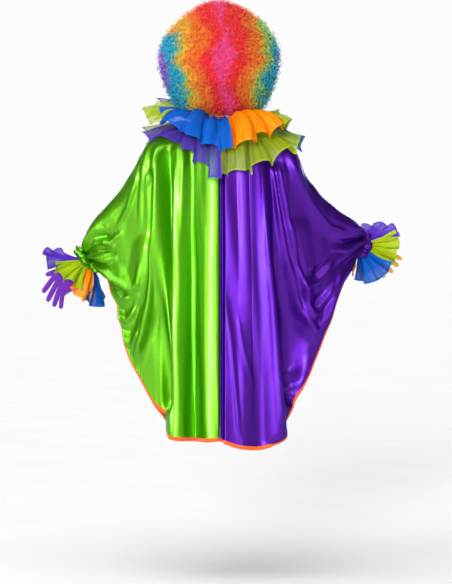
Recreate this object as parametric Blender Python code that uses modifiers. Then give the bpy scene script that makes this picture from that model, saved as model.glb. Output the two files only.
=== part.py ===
"""A clown costume, worn and with nobody in it: a two-colour satin poncho with orange binding, gathered
wrists, net ruffles at the neck and wrists, a curly wig and a pair of gloves.

Metres, +Z up. The origin is the middle of the neckline, where the poncho hangs on the shoulders. +Y is the
way the costume faces, so its back looks towards -Y, and +X is the wearer's right hand side.
"""

import math
from collections import namedtuple

import bmesh
import bpy
from mathutils import Vector
from mathutils.bvhtree import BVHTree

# ---------------------------------------------------------------- driving sizes
SATIN = 0.0016            # wall of the satin panels
NET = 0.0012              # wall of the net ruffles
GLOVE = 0.0014            # wall of the gloves
SEAM_GAP = 0.0003         # clearance between neighbouring pieces
PANEL_SEAM = 0.0009       # half of the space between two panels at a seam
NECK_X, NECK_Y = 0.080, 0.074   # half width and half depth of the neckline
NECK_CLEARANCE = 0.0026   # from the middle of the neckband's wall to the panels
BAND_HEIGHT = 0.0285      # the neckband that the ruffles are sewn to
BINDING_WIDTH = 0.009     # how far the folded binding reaches over the cloth
BINDING_CLEAR = 0.0022    # the cloth stays flat this far past the binding
WRIST_BINDING = 0.0042    # width of the binding and its clearance where it runs into the wrist
ROOM_PER_ROW = 0.80       # how much further in each row of the cloth stays, as a share of the binding
BACK, FRONT = -1, 1       # which way a panel faces along Y
LEFT, RIGHT = -1, 1       # the wearer's side along X

# ---------------------------------------------------------------- hang lines
# A panel is lofted through hang lines. Each goes over the shoulder or the arm in a quarter ellipse and then
# down to the foot, which is the hem or the open side edge. The first two start on the neckline, so their
# top_out and top_y aren't used.
HangLine = namedtuple("HangLine", "along top_out top_y top_z depth drop foot_out foot_y foot_z")

LEFT_BACK = (
    HangLine(0.00, 0.000, 0.000, 0.000, 0.055, 0.160, 0.000, -0.165, -1.010),
    HangLine(0.09, 0.060, 0.000, 0.001, 0.080, 0.155, 0.050, -0.172, -1.014),
    HangLine(0.17, 0.083, 0.000, 0.002, 0.122, 0.140, 0.092, -0.170, -1.012),
    HangLine(0.26, 0.135, 0.000, -0.014, 0.112, 0.125, 0.132, -0.160, -1.008),
    HangLine(0.35, 0.190, 0.000, -0.030, 0.095, 0.105, 0.170, -0.128, -0.988),
    HangLine(0.43, 0.232, 0.006, -0.050, 0.080, 0.095, 0.164, -0.074, -0.944),
    HangLine(0.51, 0.258, 0.014, -0.090, 0.070, 0.085, 0.212, -0.048, -0.905),
    HangLine(0.60, 0.290, 0.028, -0.148, 0.064, 0.075, 0.258, -0.030, -0.828),
    HangLine(0.70, 0.330, 0.044, -0.208, 0.058, 0.066, 0.305, -0.015, -0.735),
    HangLine(0.80, 0.378, 0.062, -0.262, 0.054, 0.060, 0.333, 0.005, -0.612),
    HangLine(0.89, 0.430, 0.080, -0.318, 0.050, 0.054, 0.356, 0.035, -0.530),
    HangLine(1.00, 0.458, 0.100, -0.362, 0.046, 0.048, 0.376, 0.080, -0.466),
)
RIGHT_BACK = (
    HangLine(0.00, 0.000, 0.000, 0.000, 0.055, 0.160, 0.000, -0.165, -1.012),
    HangLine(0.09, 0.060, 0.000, 0.001, 0.080, 0.155, 0.060, -0.172, -1.034),
    HangLine(0.17, 0.083, 0.000, 0.002, 0.122, 0.140, 0.110, -0.170, -1.040),
    HangLine(0.26, 0.135, 0.000, -0.014, 0.112, 0.125, 0.154, -0.155, -1.034),
    HangLine(0.35, 0.190, 0.000, -0.030, 0.095, 0.105, 0.190, -0.122, -1.008),
    HangLine(0.43, 0.232, 0.010, -0.052, 0.082, 0.095, 0.210, -0.078, -0.962),
    HangLine(0.51, 0.256, 0.024, -0.095, 0.074, 0.085, 0.238, -0.045, -0.915),
    HangLine(0.60, 0.282, 0.048, -0.158, 0.068, 0.075, 0.276, -0.020, -0.845),
    HangLine(0.70, 0.326, 0.080, -0.216, 0.062, 0.066, 0.320, 0.010, -0.742),
    HangLine(0.80, 0.378, 0.115, -0.262, 0.058, 0.060, 0.362, 0.045, -0.640),
    HangLine(0.89, 0.428, 0.150, -0.290, 0.052, 0.054, 0.396, 0.090, -0.540),
    HangLine(1.00, 0.458, 0.180, -0.312, 0.046, 0.048, 0.416, 0.150, -0.450),
)
LEFT_FRONT = (
    HangLine(0.00, 0.000, 0.000, -0.004, 0.062, 0.150, 0.000, 0.172, -0.990),
    HangLine(0.09, 0.060, 0.000, -0.002, 0.085, 0.145, 0.050, 0.176, -0.994),
    HangLine(0.17, 0.083, 0.000, 0.002, 0.130, 0.140, 0.092, 0.174, -0.994),
    HangLine(0.26, 0.135, 0.000, -0.014, 0.120, 0.125, 0.135, 0.165, -0.990),
    HangLine(0.35, 0.190, 0.000, -0.030, 0.105, 0.105, 0.175, 0.145, -0.972),
    HangLine(0.43, 0.232, 0.006, -0.050, 0.092, 0.095, 0.200, 0.125, -0.944),
    HangLine(0.51, 0.258, 0.014, -0.090, 0.082, 0.085, 0.226, 0.110, -0.908),
    HangLine(0.60, 0.290, 0.028, -0.148, 0.074, 0.075, 0.258, 0.102, -0.835),
    HangLine(0.70, 0.330, 0.044, -0.208, 0.068, 0.066, 0.304, 0.100, -0.738),
    HangLine(0.80, 0.378, 0.062, -0.262, 0.066, 0.060, 0.334, 0.106, -0.612),
    HangLine(0.89, 0.430, 0.080, -0.318, 0.068, 0.054, 0.356, 0.122, -0.528),
    HangLine(1.00, 0.458, 0.100, -0.362, 0.070, 0.048, 0.374, 0.136, -0.464),
)
RIGHT_FRONT = (
    HangLine(0.00, 0.000, 0.000, -0.004, 0.062, 0.150, 0.000, 0.172, -0.990),
    HangLine(0.09, 0.060, 0.000, -0.002, 0.085, 0.145, 0.056, 0.176, -0.998),
    HangLine(0.17, 0.083, 0.000, 0.002, 0.130, 0.140, 0.104, 0.174, -1.000),
    HangLine(0.26, 0.135, 0.000, -0.014, 0.120, 0.125, 0.148, 0.168, -0.996),
    HangLine(0.35, 0.190, 0.000, -0.030, 0.105, 0.105, 0.184, 0.155, -0.978),
    HangLine(0.43, 0.232, 0.010, -0.052, 0.092, 0.095, 0.208, 0.140, -0.938),
    HangLine(0.51, 0.256, 0.024, -0.095, 0.084, 0.085, 0.238, 0.135, -0.882),
    HangLine(0.60, 0.282, 0.048, -0.158, 0.078, 0.075, 0.268, 0.140, -0.806),
    HangLine(0.70, 0.326, 0.080, -0.216, 0.074, 0.066, 0.304, 0.158, -0.705),
    HangLine(0.80, 0.378, 0.115, -0.262, 0.072, 0.060, 0.332, 0.180, -0.615),
    HangLine(0.89, 0.428, 0.150, -0.290, 0.070, 0.054, 0.354, 0.205, -0.530),
    HangLine(1.00, 0.458, 0.180, -0.312, 0.068, 0.048, 0.376, 0.225, -0.446),
)
NECK_SHARE = 0.17         # the share of a panel whose top edge is the neckline
EVEN_SPREAD = 0.54        # metres across for a whole share, which the hang lines reach below the neck
# Over the arm the quarter ellipse swings square to the arm: degrees from straight back, at the wrist.
ARM_SWING = {LEFT: 19, RIGHT: 50}
SWING_FROM = 0.50
SIDE_CURVE = 0.6          # how early the arm's hang lines turn in, so that they meet the open side square
# This share of a panel's columns lies between the centre seam and MIDDLE, where the folds are closest.
MIDDLE, MIDDLE_COLUMNS = 0.54, 0.62

# ---------------------------------------------------------------- folds
# A fold follows a path of (x, z) points down the cloth. Its height is above the smooth panel, so a valley is
# negative, and it grows from the first figure at the top to the second at the foot.
Fold = namedtuple("Fold", "name path half_width top_height foot_height")

BACK_FOLDS = (
    Fold("left broad ridge", ((-0.040, -0.06), (-0.046, -0.50), (-0.044, -1.01)), 0.050, 0.016, 0.040),
    Fold("left inner valley", ((-0.088, -0.12), (-0.092, -0.55), (-0.086, -1.01)), 0.042, -0.010, -0.046),
    Fold("left narrow ridge", ((-0.137, -0.10), (-0.140, -0.50), (-0.136, -1.01)), 0.036, 0.018, 0.036),
    Fold("left deep valley", ((-0.166, -0.10), (-0.164, -0.50), (-0.158, -0.90)), 0.034, -0.022, -0.026),
    Fold("left swept ridge", ((-0.190, -0.09), (-0.196, -0.36), (-0.222, -0.58), (-0.270, -0.74)),
         0.042, 0.014, 0.016),
    Fold("left swag", ((-0.395, -0.43), (-0.330, -0.510), (-0.268, -0.540), (-0.240, -0.40)),
         0.052, 0.012, 0.014),
    Fold("seam valley", ((0.004, -0.12), (0.005, -0.50), (0.003, -1.01)), 0.022, -0.010, -0.026),
    Fold("right broad ridge", ((0.075, -0.08), (0.082, -0.50), (0.060, -1.02)), 0.075, 0.016, 0.014),
    Fold("right edge ridge", ((0.138, -0.10), (0.152, -0.50), (0.182, -1.00)), 0.038, 0.014, 0.038),
    Fold("right deep valley", ((0.170, -0.12), (0.196, -0.52), (0.222, -0.86)), 0.040, -0.022, -0.040),
    Fold("right low valley", ((0.082, -0.62), (0.112, -0.82), (0.116, -1.02)), 0.046, -0.006, -0.030),
    Fold("right long swag", ((0.186, -0.16), (0.222, -0.42), (0.290, -0.64), (0.312, -0.670),
                             (0.345, -0.60), (0.398, -0.49)), 0.046, 0.014, 0.012),
    Fold("right inner swag", ((0.250, -0.34), (0.284, -0.53), (0.330, -0.515), (0.410, -0.43)),
         0.050, 0.010, 0.012),
    Fold("right arm ridge", ((0.226, -0.08), (0.286, -0.230), (0.360, -0.325), (0.440, -0.338)),
         0.045, 0.006, 0.010),
)
FRONT_FOLDS = (
    Fold("left chest ridge", ((-0.070, -0.10), (-0.066, -0.50), (-0.056, -1.00)), 0.050, 0.010, 0.036),
    Fold("left front valley", ((-0.118, -0.16), (-0.110, -0.55), (-0.104, -1.00)), 0.040, -0.008, -0.034),
    Fold("left side ridge", ((-0.168, -0.12), (-0.158, -0.55), (-0.152, -0.98)), 0.040, 0.012, 0.034),
    Fold("left side valley", ((-0.200, -0.16), (-0.202, -0.55), (-0.194, -0.90)), 0.036, -0.016, -0.020),
    Fold("left swept front", ((-0.226, -0.14), (-0.236, -0.42), (-0.270, -0.70)), 0.046, 0.012, 0.012),
    Fold("left front swag", ((-0.395, -0.43), (-0.320, -0.50), (-0.266, -0.47)), 0.052, 0.010, 0.008),
    Fold("seam hollow", ((0.000, -0.14), (0.000, -0.55), (0.002, -0.99)), 0.036, -0.006, -0.024),
    Fold("right chest ridge", ((0.066, -0.10), (0.068, -0.50), (0.062, -1.00)), 0.048, 0.010, 0.034),
    Fold("right front valley", ((0.114, -0.16), (0.116, -0.55), (0.112, -1.00)), 0.040, -0.008, -0.034),
    Fold("right side ridge", ((0.160, -0.12), (0.166, -0.55), (0.164, -0.99)), 0.040, 0.012, 0.034),
    Fold("right side valley", ((0.200, -0.16), (0.210, -0.55), (0.216, -0.88)), 0.036, -0.016, -0.022),
    Fold("right front swag", ((0.236, -0.16), (0.280, -0.46), (0.320, -0.50), (0.398, -0.44)),
         0.052, 0.012, 0.010),
)

# ---------------------------------------------------------------- wrists
# The ring where a panel ends, the way the forearm points, and the radius of the gathered satin there.
Wrist = namedtuple("Wrist", "centre axis radius band_start band_length")
WRISTS = {
    LEFT: Wrist(Vector((-0.424, 0.110, -0.424)), Vector((-0.62, 0.22, -0.75)).normalized(),
                0.037, 0.0019, 0.036),
    RIGHT: Wrist(Vector((0.450, 0.212, -0.380)), Vector((0.60, 0.72, -0.34)).normalized(),
                 0.037, -0.0002, 0.036),
}
RING_BLEND_FROM = 0.84    # share along a panel where it starts to close on the wrist ring
GATHER_FROM = 0.70        # and where the gathers of the elastic start
GATHERS_PER_PANEL = 4
GATHER_HEIGHT = 0.0040
RING_COVER = 0.90         # share of the half ring that a panel covers, the rest is the side opening
BAND_PUFFS = 8
BAND_PUFF_HEIGHT = 0.0045

# ---------------------------------------------------------------- net ruffles
# Angles run from the middle of the back, positive towards the wearer's right.
Sector = namedtuple("Sector", "name colour start end waves")
UPPER_RUFFLE = (
    Sector("ruff_upper_blue_back", "blue_net", -72, 10, 5),
    Sector("ruff_upper_orange_back", "orange_net", 10, 66, 4),
    Sector("ruff_upper_lime_right", "lime_net", 66, 118, 4),
    Sector("ruff_upper_orange_front", "orange_net", 118, 180, 5),
    Sector("ruff_upper_purple_front", "purple_net", 180, 226, 3),
    Sector("ruff_upper_lime_left", "lime_net", 226, 288, 5),
)
LOWER_RUFFLE = (
    Sector("ruff_lower_purple_back", "purple_net", -88, 0, 5),
    Sector("ruff_lower_lime_back", "lime_net", 0, 82, 5),
    Sector("ruff_lower_blue_right", "blue_net", 82, 136, 3),
    Sector("ruff_lower_orange_front", "orange_net", 136, 208, 4),
    Sector("ruff_lower_lime_left", "lime_net", 208, 272, 4),
)
# How steeply a ruffle leaves the neckband and how steeply it ends, in degrees below level.
Pitch = namedtuple("Pitch", "angle upper_start upper_end lower_start lower_end")
RUFF_PITCH = (
    Pitch(-180, 14, 50, 12, 76),
    Pitch(-130, 4, 20, 6, 50),
    Pitch(-100, -6, -12, 2, 20),
    Pitch(-70, 2, 24, 6, 38),
    Pitch(-35, 12, 66, 10, 80),
    Pitch(0, 16, 74, 12, 88),
    Pitch(35, 12, 62, 10, 78),
    Pitch(70, 2, 26, 6, 38),
    Pitch(100, -2, 8, 4, 24),
    Pitch(130, 4, 20, 6, 50),
    Pitch(180, 14, 50, 12, 76),
)
Ruffle = namedtuple("Ruffle", "length start_z start_wave end_wave side_wave rows")
UPPER = Ruffle(0.140, 0.0205, 0.0014, 0.0125, 0.004, 3)
LOWER = Ruffle(0.190, 0.0100, 0.0016, 0.0145, 0.005, 4)
REST = 0.0060             # clearance of a ruffle over what it lies on
# Angles run from the top of the wrist, positive round by the back of it.
CUFF_SECTORS = {
    LEFT: (
        Sector("purple", "purple_net", -60, 55, 4),
        Sector("lime", "lime_net", 55, 120, 3),
        Sector("orange", "orange_net", 120, 165, 2),
        Sector("blue", "blue_net", 165, 300, 4),
    ),
    RIGHT: (
        Sector("purple", "purple_net", -50, 55, 4),
        Sector("lime", "lime_net", 55, 135, 3),
        Sector("blue", "blue_net", 135, 225, 3),
        Sector("orange", "orange_net", 225, 310, 3),
    ),
}
Cuff = namedtuple("Cuff", "length start_flare end_flare start_wave end_wave rows")
CUFFS = {
    LEFT: Cuff(0.106, 46, 64, 0.0012, 0.0110, 3),
    RIGHT: Cuff(0.092, 42, 66, 0.0012, 0.0100, 3),
}
SAMPLES_PER_WAVE = 4
RUFFLE_CLEARANCE = 0.0019 # from the middle of the neckband's wall to the middle of a ruffle's sewn edge
RUFFLE_SEAM = 0.0006      # half of the space between two colours of net, where they are sewn on
# How far each wave in turn is fuller or flatter than the mean, and its edge longer or shorter.
FULLNESS = (1.00, 0.72, 1.18, 0.86, 1.10, 0.66, 1.24, 0.92)
REACH = (1.00, 1.05, 0.95, 1.02, 0.93, 1.06, 0.98)

# ---------------------------------------------------------------- wig
WIG_CENTRE = Vector((0.0, -0.008, 0.2042))
WIG_HALF = Vector((0.188, 0.180, 0.194))
WIG_LUMP = 0.0035
HEAD_CENTRE = Vector((0.0, 0.010, 0.178))
HEAD_HALF = Vector((0.078, 0.096, 0.114))
# Angles from the crown down to the rim, over the forehead and at the nape outside and inside, and the half
# angle of the face opening.
FOREHEAD, NAPE, HEAD_NAPE, FACE_HALF_ANGLE = 74, 162, 136, 54
WIG_ROWS, HEAD_ROWS = 11, 5

# ---------------------------------------------------------------- gloves
# A finger leaves its share of the knuckle edge, spreads to the side, and has this length and half width.
Finger = namedtuple("Finger", "name spread length half_width")
FINGERS = (
    Finger("little", -16, 0.056, 0.0084),
    Finger("ring", -6, 0.072, 0.0092),
    Finger("middle", 3, 0.078, 0.0095),
    Finger("fore", 12, 0.072, 0.0093),
)
THUMB = Finger("thumb", 48, 0.064, 0.0100)
GLOVE_WRIST_HALF = Vector((0.0300, 0.0300))     # across the hand, through the hand
GLOVE_PALM_HALF = Vector((0.041, 0.015))
GLOVE_PALM_LENGTH = 0.076
# The wrist's length, then how far the fingers and the thumb turn from their places on a straight hand.
Hand = namedtuple("Hand", "direction palm_normal thumb_side wrist_length finger_turn thumb_turn")
HANDS = {
    LEFT: Hand(Vector((-0.80, 0.12, -0.59)), Vector((0.15, 0.97, 0.10)), 1, 0.051, -34, -28),
    RIGHT: Hand(Vector((0.64, 0.66, -0.40)), Vector((0.30, -0.66, -0.69)), -1, 0.056, 0, 0),
}

COLOURS = {
    "green_satin": ((0.18, 0.55, 0.02), 0.32, 0.0),
    "purple_satin": ((0.13, 0.02, 0.45), 0.32, 0.0),
    "orange_binding": ((0.90, 0.13, 0.01), 0.5, 0.0),
    "blue_net": ((0.01, 0.15, 0.70), 0.7, 0.0),
    "orange_net": ((0.95, 0.30, 0.01), 0.7, 0.0),
    "lime_net": ((0.35, 0.50, 0.02), 0.7, 0.0),
    "purple_net": ((0.09, 0.02, 0.40), 0.7, 0.0),
    "wig_curls": ((0.85, 0.05, 0.05), 0.9, 0.0),
    "purple_glove": ((0.15, 0.01, 0.42), 0.7, 0.0),
    "yellow_glove": ((0.95, 0.42, 0.01), 0.7, 0.0),
}


# ---------------------------------------------------------------- general helpers
def smooth(low, high, value):
    """0 below low, 1 above high, and a smooth rise between them."""
    share = min(1.0, max(0.0, (value - low) / (high - low)))
    return share * share * (3 - 2 * share)


def between_rows(rows, key, column, value):
    """A column of a table at a value of its key column, on a smooth curve through the rows."""
    keys = [getattr(row, key) for row in rows]
    figures = [getattr(row, column) for row in rows]
    i = max(0, min(len(rows) - 2, sum(1 for k in keys[1:] if k <= value)))
    slopes = []
    for j in (i, i + 1):
        before, after = max(0, j - 1), min(len(rows) - 1, j + 1)
        slopes.append((figures[after] - figures[before]) / (keys[after] - keys[before]))
    span = keys[i + 1] - keys[i]
    t = min(1.0, max(0.0, (value - keys[i]) / span))
    return (
        figures[i] * (2 * t**3 - 3 * t**2 + 1)
        + figures[i + 1] * (3 * t**2 - 2 * t**3)
        + slopes[0] * span * (t**3 - 2 * t**2 + t)
        + slopes[1] * span * (t**3 - t**2)
    )


def new_collection(name):
    made = bpy.data.collections.new(name)
    bpy.context.scene.collection.children.link(made)
    return made


def material(name):
    if name in bpy.data.materials:
        return bpy.data.materials[name]
    colour, roughness, metallic = COLOURS[name]
    made = bpy.data.materials.new(name)
    made.use_nodes = True
    shader = made.node_tree.nodes["Principled BSDF"]
    shader.inputs["Base Color"].default_value = (*colour, 1)
    shader.inputs["Roughness"].default_value = roughness
    shader.inputs["Metallic"].default_value = metallic
    made.diffuse_color = (*colour, 1)
    return made


def add_object(name, bm, colour, collection):
    mesh = bpy.data.meshes.new(name)
    bm.to_mesh(mesh)
    bm.free()
    made = bpy.data.objects.new(name, mesh)
    made.data.materials.append(material(colour))
    made.data.shade_smooth()
    collection.objects.link(made)
    return made


def thicken(obj, wall):
    """Gives an open sheet its wall, half on each side."""
    solidify = obj.modifiers.new("wall", "SOLIDIFY")
    solidify.thickness = wall
    solidify.offset = 0
    return obj


def sheet_mesh(columns, rows, place, closed=False):
    """A grid of columns by rows whose corner (i, j) goes to place(i, j), rolled into a tube if closed."""
    bm = bmesh.new()
    bmesh.ops.create_grid(bm, x_segments=columns, y_segments=rows, size=0.5)
    for vert in bm.verts:
        i = round((vert.co.x + 0.5) * columns)
        j = round((vert.co.y + 0.5) * rows)
        vert.co = place(0 if closed and i == columns else i, j)
    if closed:
        bmesh.ops.remove_doubles(bm, verts=bm.verts, dist=1e-6)
    bm.normal_update()
    return bm


# ---------------------------------------------------------------- the poncho
ARC_TURNS = (0.0, 10.0, 34.0, 62.0, 90.0)      # degrees round the quarter ellipse over the arm
DROPS = 9                                       # rows from there to the foot


def row_shares():
    """Each row's turn over the arm, in degrees, and its share of the drop below it."""
    return [(turn, 0.0) for turn in ARC_TURNS] + [(90.0, k / DROPS) for k in range(1, DROPS + 1)]


def smooth_cloth(lines, side, face, along, turn, share):
    """A point of the panel before its folds."""
    def col(name):
        return between_rows(lines, "along", name, along)

    angle, swing = math.radians(turn), math.radians(ARM_SWING[side] * smooth(SWING_FROM, 1.0, along))
    x, y = col("top_out"), col("top_y")
    if along < NECK_SHARE:
        round_neck = math.pi / 2 * along / NECK_SHARE
        x = (NECK_X + NECK_CLEARANCE) * math.sin(round_neck)
        y = face * (NECK_Y + NECK_CLEARANCE) * math.cos(round_neck)
    x += (min(EVEN_SPREAD * along, col("top_out")) - x) * math.sin(angle) ** 2 * (along < 0.43)
    x -= face * col("depth") * math.sin(angle) * math.sin(swing)
    y += face * col("depth") * math.sin(angle) * math.cos(swing)
    z = col("top_z") - col("drop") * (1 - math.cos(angle))
    y += (col("foot_y") - y) * share
    z += (col("foot_z") - z) * share
    x += (col("foot_out") - x) * share ** (1 - SIDE_CURVE * smooth(0.5, 0.8, along))
    return Vector((side * x, y, z))


def wrist_frame(side):
    """The upward and rearward directions across the wrist ring."""
    axis = WRISTS[side].axis
    up = (Vector((0, 0, 1)) - axis * axis.z).normalized()
    rear = up.cross(axis).normalized()
    return up, rear if rear.y < 0 else -rear


def wrist_point(side, face, share, radius, forward=0.0):
    """A point of the wrist ring: share 0 is its top and 1 its underside, on the face's own half."""
    wrist = WRISTS[side]
    up, rear = wrist_frame(side)
    turn = math.pi * share
    across = up * math.cos(turn) - rear * (face * math.sin(turn))
    return wrist.centre + wrist.axis * forward + across * radius, across


def fold_height(folds, x, z):
    """The summed height of the folds at a place on the cloth."""
    total = 0.0
    for fold in folds:
        lengths = [math.dist(a, b) for a, b in zip(fold.path, fold.path[1:])]
        whole, done = sum(lengths), 0.0
        best, best_share = math.inf, 0.0
        for (ax, az), (bx, bz), length in zip(fold.path, fold.path[1:], lengths):
            t = ((x - ax) * (bx - ax) + (z - az) * (bz - az)) / length**2
            t = min(1.0, max(0.0, t))
            apart = math.hypot(x - ax - t * (bx - ax), z - az - t * (bz - az))
            if apart < best:
                best, best_share = apart, (done + t * length) / whole
            done += length
        if best < fold.half_width:
            height = fold.top_height + (fold.foot_height - fold.top_height) * best_share
            total += height * (1 - (best / fold.half_width) ** 2) ** 2
    return total


def panel_point(lines, folds, side, face, along, turn, share, row_share):
    """A point of the finished panel: smooth cloth, folds, the elastic's gathers and the seams' clearance."""
    step = 0.004
    here = smooth_cloth(lines, side, face, along, turn, share)
    if share == 0:
        down = smooth_cloth(lines, side, face, along, turn + 2, share) - here
    else:
        down = here - smooth_cloth(lines, side, face, along, turn, share - step)
    near = along - step if along > 0.5 else along + step
    outward = smooth_cloth(lines, side, face, near, turn, share) - here
    outward = -outward if along > 0.5 else outward
    # outward runs along +X or -X and down runs over the panel, so their order sets which way is out
    normal = down.cross(outward) * (-side * face)
    normal.x *= smooth(0.0, 0.06, along)
    normal.normalize()
    calm = smooth(0, 90, turn) * (1 - smooth(0.45, 0.60, along) * smooth(0.75, 1.0, share))
    point = here + normal * (fold_height(folds, here.x, here.z) * calm)
    ring, across = wrist_point(side, face, row_share * RING_COVER, WRISTS[side].radius, -0.0015)
    closing = smooth(RING_BLEND_FROM, 1.0, along)
    point = point.lerp(ring, closing)
    gather = GATHER_HEIGHT * smooth(GATHER_FROM, 1.0, along) * math.sin(math.pi * row_share) ** 0.5
    lift = normal.lerp(across, closing).normalized()
    point += lift * gather * math.cos(2 * math.pi * GATHERS_PER_PANEL * row_share)
    # seams: the centre one keeps the sides apart, and the top one the front from the back
    point.x += side * PANEL_SEAM * (1 - smooth(0.0, 0.04, along))
    apart = PANEL_SEAM * (1 - smooth(0, 30, turn)) * (share == 0) * smooth(0.10, NECK_SHARE, along)
    point.y += face * apart * (1 - closing)
    point += wrist_frame(side)[1] * (-face * apart * closing)
    return point


def column_share(i, columns):
    """Where column i of a panel lies, with the columns closer together near the centre seam."""
    part = i / columns
    if part < MIDDLE_COLUMNS:
        return MIDDLE * part / MIDDLE_COLUMNS
    return MIDDLE + (1 - MIDDLE) * (part - MIDDLE_COLUMNS) / (1 - MIDDLE_COLUMNS)


def panel(name, lines, folds, side, face, columns, colour, collection):
    """One satin panel and the binding folded over its foot edge. The last row but one marks the binding."""
    shares = row_shares()
    last = len(shares) - 1
    grid = {}
    for i in range(columns + 1):
        for k, (turn, share) in enumerate(shares):
            along = column_share(i, columns)
            grid[i, k] = panel_point(lines, folds, side, face, along, turn, share, k / last)
    ups, heights = [], []
    for i in range(columns + 1):
        edge = grid[min(i + 1, columns), last] - grid[max(i - 1, 0), last]
        up = grid[i, last - 1] - grid[i, last]
        up -= edge * (up.dot(edge) / edge.length_squared)
        ups.append(up.normalized())
        closing = smooth(RING_BLEND_FROM, 1.0, column_share(i, columns))
        heights.append((BINDING_WIDTH + BINDING_CLEAR) * (1 - closing) + WRIST_BINDING * closing)
    for _ in range(3):
        beside = [(ups[max(i - 1, 0)], ups[min(i + 1, columns)]) for i in range(columns + 1)]
        ups = [(one + up * 2 + other).normalized() for up, (one, other) in zip(ups, beside)]
    # rows that run too close to the edge move in from it, which leaves the binding its room
    for i in range(columns + 1):
        for k in range(last - 5, last):
            needed = heights[i] * (1 + ROOM_PER_ROW * (last - k))
            apart = (grid[i, k] - grid[i, last]).dot(ups[i])
            if apart < needed and column_share(i, columns) < RING_BLEND_FROM + 0.08:
                grid[i, k] += ups[i] * (needed - apart)
    ups = [up * height for up, height in zip(ups, heights)]

    def place(i, j):
        if j == 0:
            return grid[i, last]
        if j == 1:
            return grid[i, last] + ups[i]
        return grid[i, last - j + 1]

    bm = sheet_mesh(columns, last + 1, place)
    by_place = {tuple(round(c, 7) for c in v.co): v for v in bm.verts}
    strip = [[by_place[tuple(round(c, 7) for c in place(i, j))] for j in (0, 1)] for i in range(columns + 1)]
    stations = [(low.co.copy(), high.co.copy(), low.normal.copy(), high.normal.copy())
                for low, high in strip]
    for (_, high), (low, _) in zip(strip, strip[1:]):
        face_between = next(f for f in high.link_faces if low in f.verts)
        bmesh.utils.face_split(face_between, high, low)
    made = thicken(add_object(name, bm, colour, collection), SATIN)
    binding("binding_" + name, stations, collection)
    return made


def binding(name, stations, collection):
    """A strip folded over an edge: at each station its section is a U round the cloth, open towards it."""
    inner = SATIN / 2 + 0.0009
    outer = inner + 0.0010
    reach = BINDING_WIDTH / (BINDING_WIDTH + BINDING_CLEAR)
    # share of the way up the marked strip, and height over the middle of the cloth
    section = (
        (reach, outer), (-0.16, outer), (-0.16, -outer), (reach, -outer),
        (reach, -inner), (-0.06, -inner), (-0.06, inner), (reach, inner),
    )
    ends = (0, 1, 0.12), (-1, -2, 0.12)
    trimmed = list(stations)
    for at, beside, share in ends:
        trimmed[at] = tuple(a.lerp(b, share) for a, b in zip(stations[at], stations[beside]))
    bm = bmesh.new()
    rings = []
    for low, high, low_normal, high_normal in trimmed:
        ring = []
        for share, height in section:
            normal = low_normal.lerp(high_normal, max(share, 0.0))
            ring.append(bm.verts.new(low.lerp(high, share) + normal * height))
        rings.append(ring)
    count = len(section)
    # each face is split the same way as the cloth under it, so that the two stay the same distance apart
    for a, b in zip(rings, rings[1:]):
        for k in range(count):
            after = (k + 1) % count
            made = bm.faces.new((a[k], a[after], b[after], b[k]))
            corners = (a[k], b[after]) if section[k][0] > section[after][0] else (a[after], b[k])
            bmesh.utils.face_split(made, *corners)
    bm.faces.new(rings[0])
    bm.faces.new(rings[-1])
    bmesh.ops.recalc_face_normals(bm, faces=bm.faces)
    add_object(name, bm, "orange_binding", collection)


def wrist_band(name, side, colour, collection):
    """The gathered satin between the panels and the ruffle, puffed on each side of the elastic."""
    wrist = WRISTS[side]
    columns, rows = BAND_PUFFS * 3, 4
    # forward share of the band, radius share, and puff share
    profile = ((0.0, 1.00, 0.4), (0.30, 1.10, 1.0), (0.62, 1.00, 1.0), (0.88, 0.90, 0.0), (1.0, 0.88, 0.0))
    length = wrist.band_length - wrist.band_start

    def place(i, j):
        forward, radius, puff = profile[j]
        turn = 2 * i / columns
        face = BACK if turn <= 1 else FRONT
        share = turn if turn <= 1 else 2 - turn
        wave = BAND_PUFF_HEIGHT * puff * math.cos(math.pi * BAND_PUFFS * turn + 2.2 * forward)
        ahead = wrist.band_start + length * forward
        return wrist_point(side, face, share, wrist.radius * radius + wave, ahead)[0]

    thicken(add_object(name, sheet_mesh(columns, rows, place, closed=True), colour, collection), SATIN)


# ---------------------------------------------------------------- ruffles
def wave_at(index):
    """The height, sideways shift and wave number of a pleat sample."""
    phase = 2 * math.pi * index / SAMPLES_PER_WAVE
    number = int(index // SAMPLES_PER_WAVE)
    return math.cos(phase), math.sin(phase), number


def ruff_point(ruffle, angle, share, wave, sideways, reach, upper):
    """A point of a neck ruffle at a share of its length, and the way that is up from it."""
    names = ("upper_start", "upper_end") if upper else ("lower_start", "lower_end")
    start, end = (between_rows(RUFF_PITCH, "angle", name, angle) for name in names)
    turn = math.radians(angle)
    radial = Vector((math.sin(turn), -math.cos(turn), 0))
    along = Vector((math.cos(turn), math.sin(turn), 0))
    rim = Vector(((NECK_X + RUFFLE_CLEARANCE) * radial.x,
                  (NECK_Y + RUFFLE_CLEARANCE) * radial.y, ruffle.start_z))
    steps = 8
    point, pitch = rim, math.radians(start)
    for k in range(steps):
        part = (k + 0.5) / steps * share
        pitch = math.radians(start + (end - start) * part**0.6)
        ahead = radial * math.cos(pitch) - Vector((0, 0, math.sin(pitch)))
        point = point + ahead * (ruffle.length * reach * share / steps)
    lift = radial * math.sin(pitch) + Vector((0, 0, math.cos(pitch)))
    height = ruffle.start_wave + (ruffle.end_wave - ruffle.start_wave) * share**0.8
    return point + lift * (height * wave) + along * (ruffle.side_wave * share * sideways), lift


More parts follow.
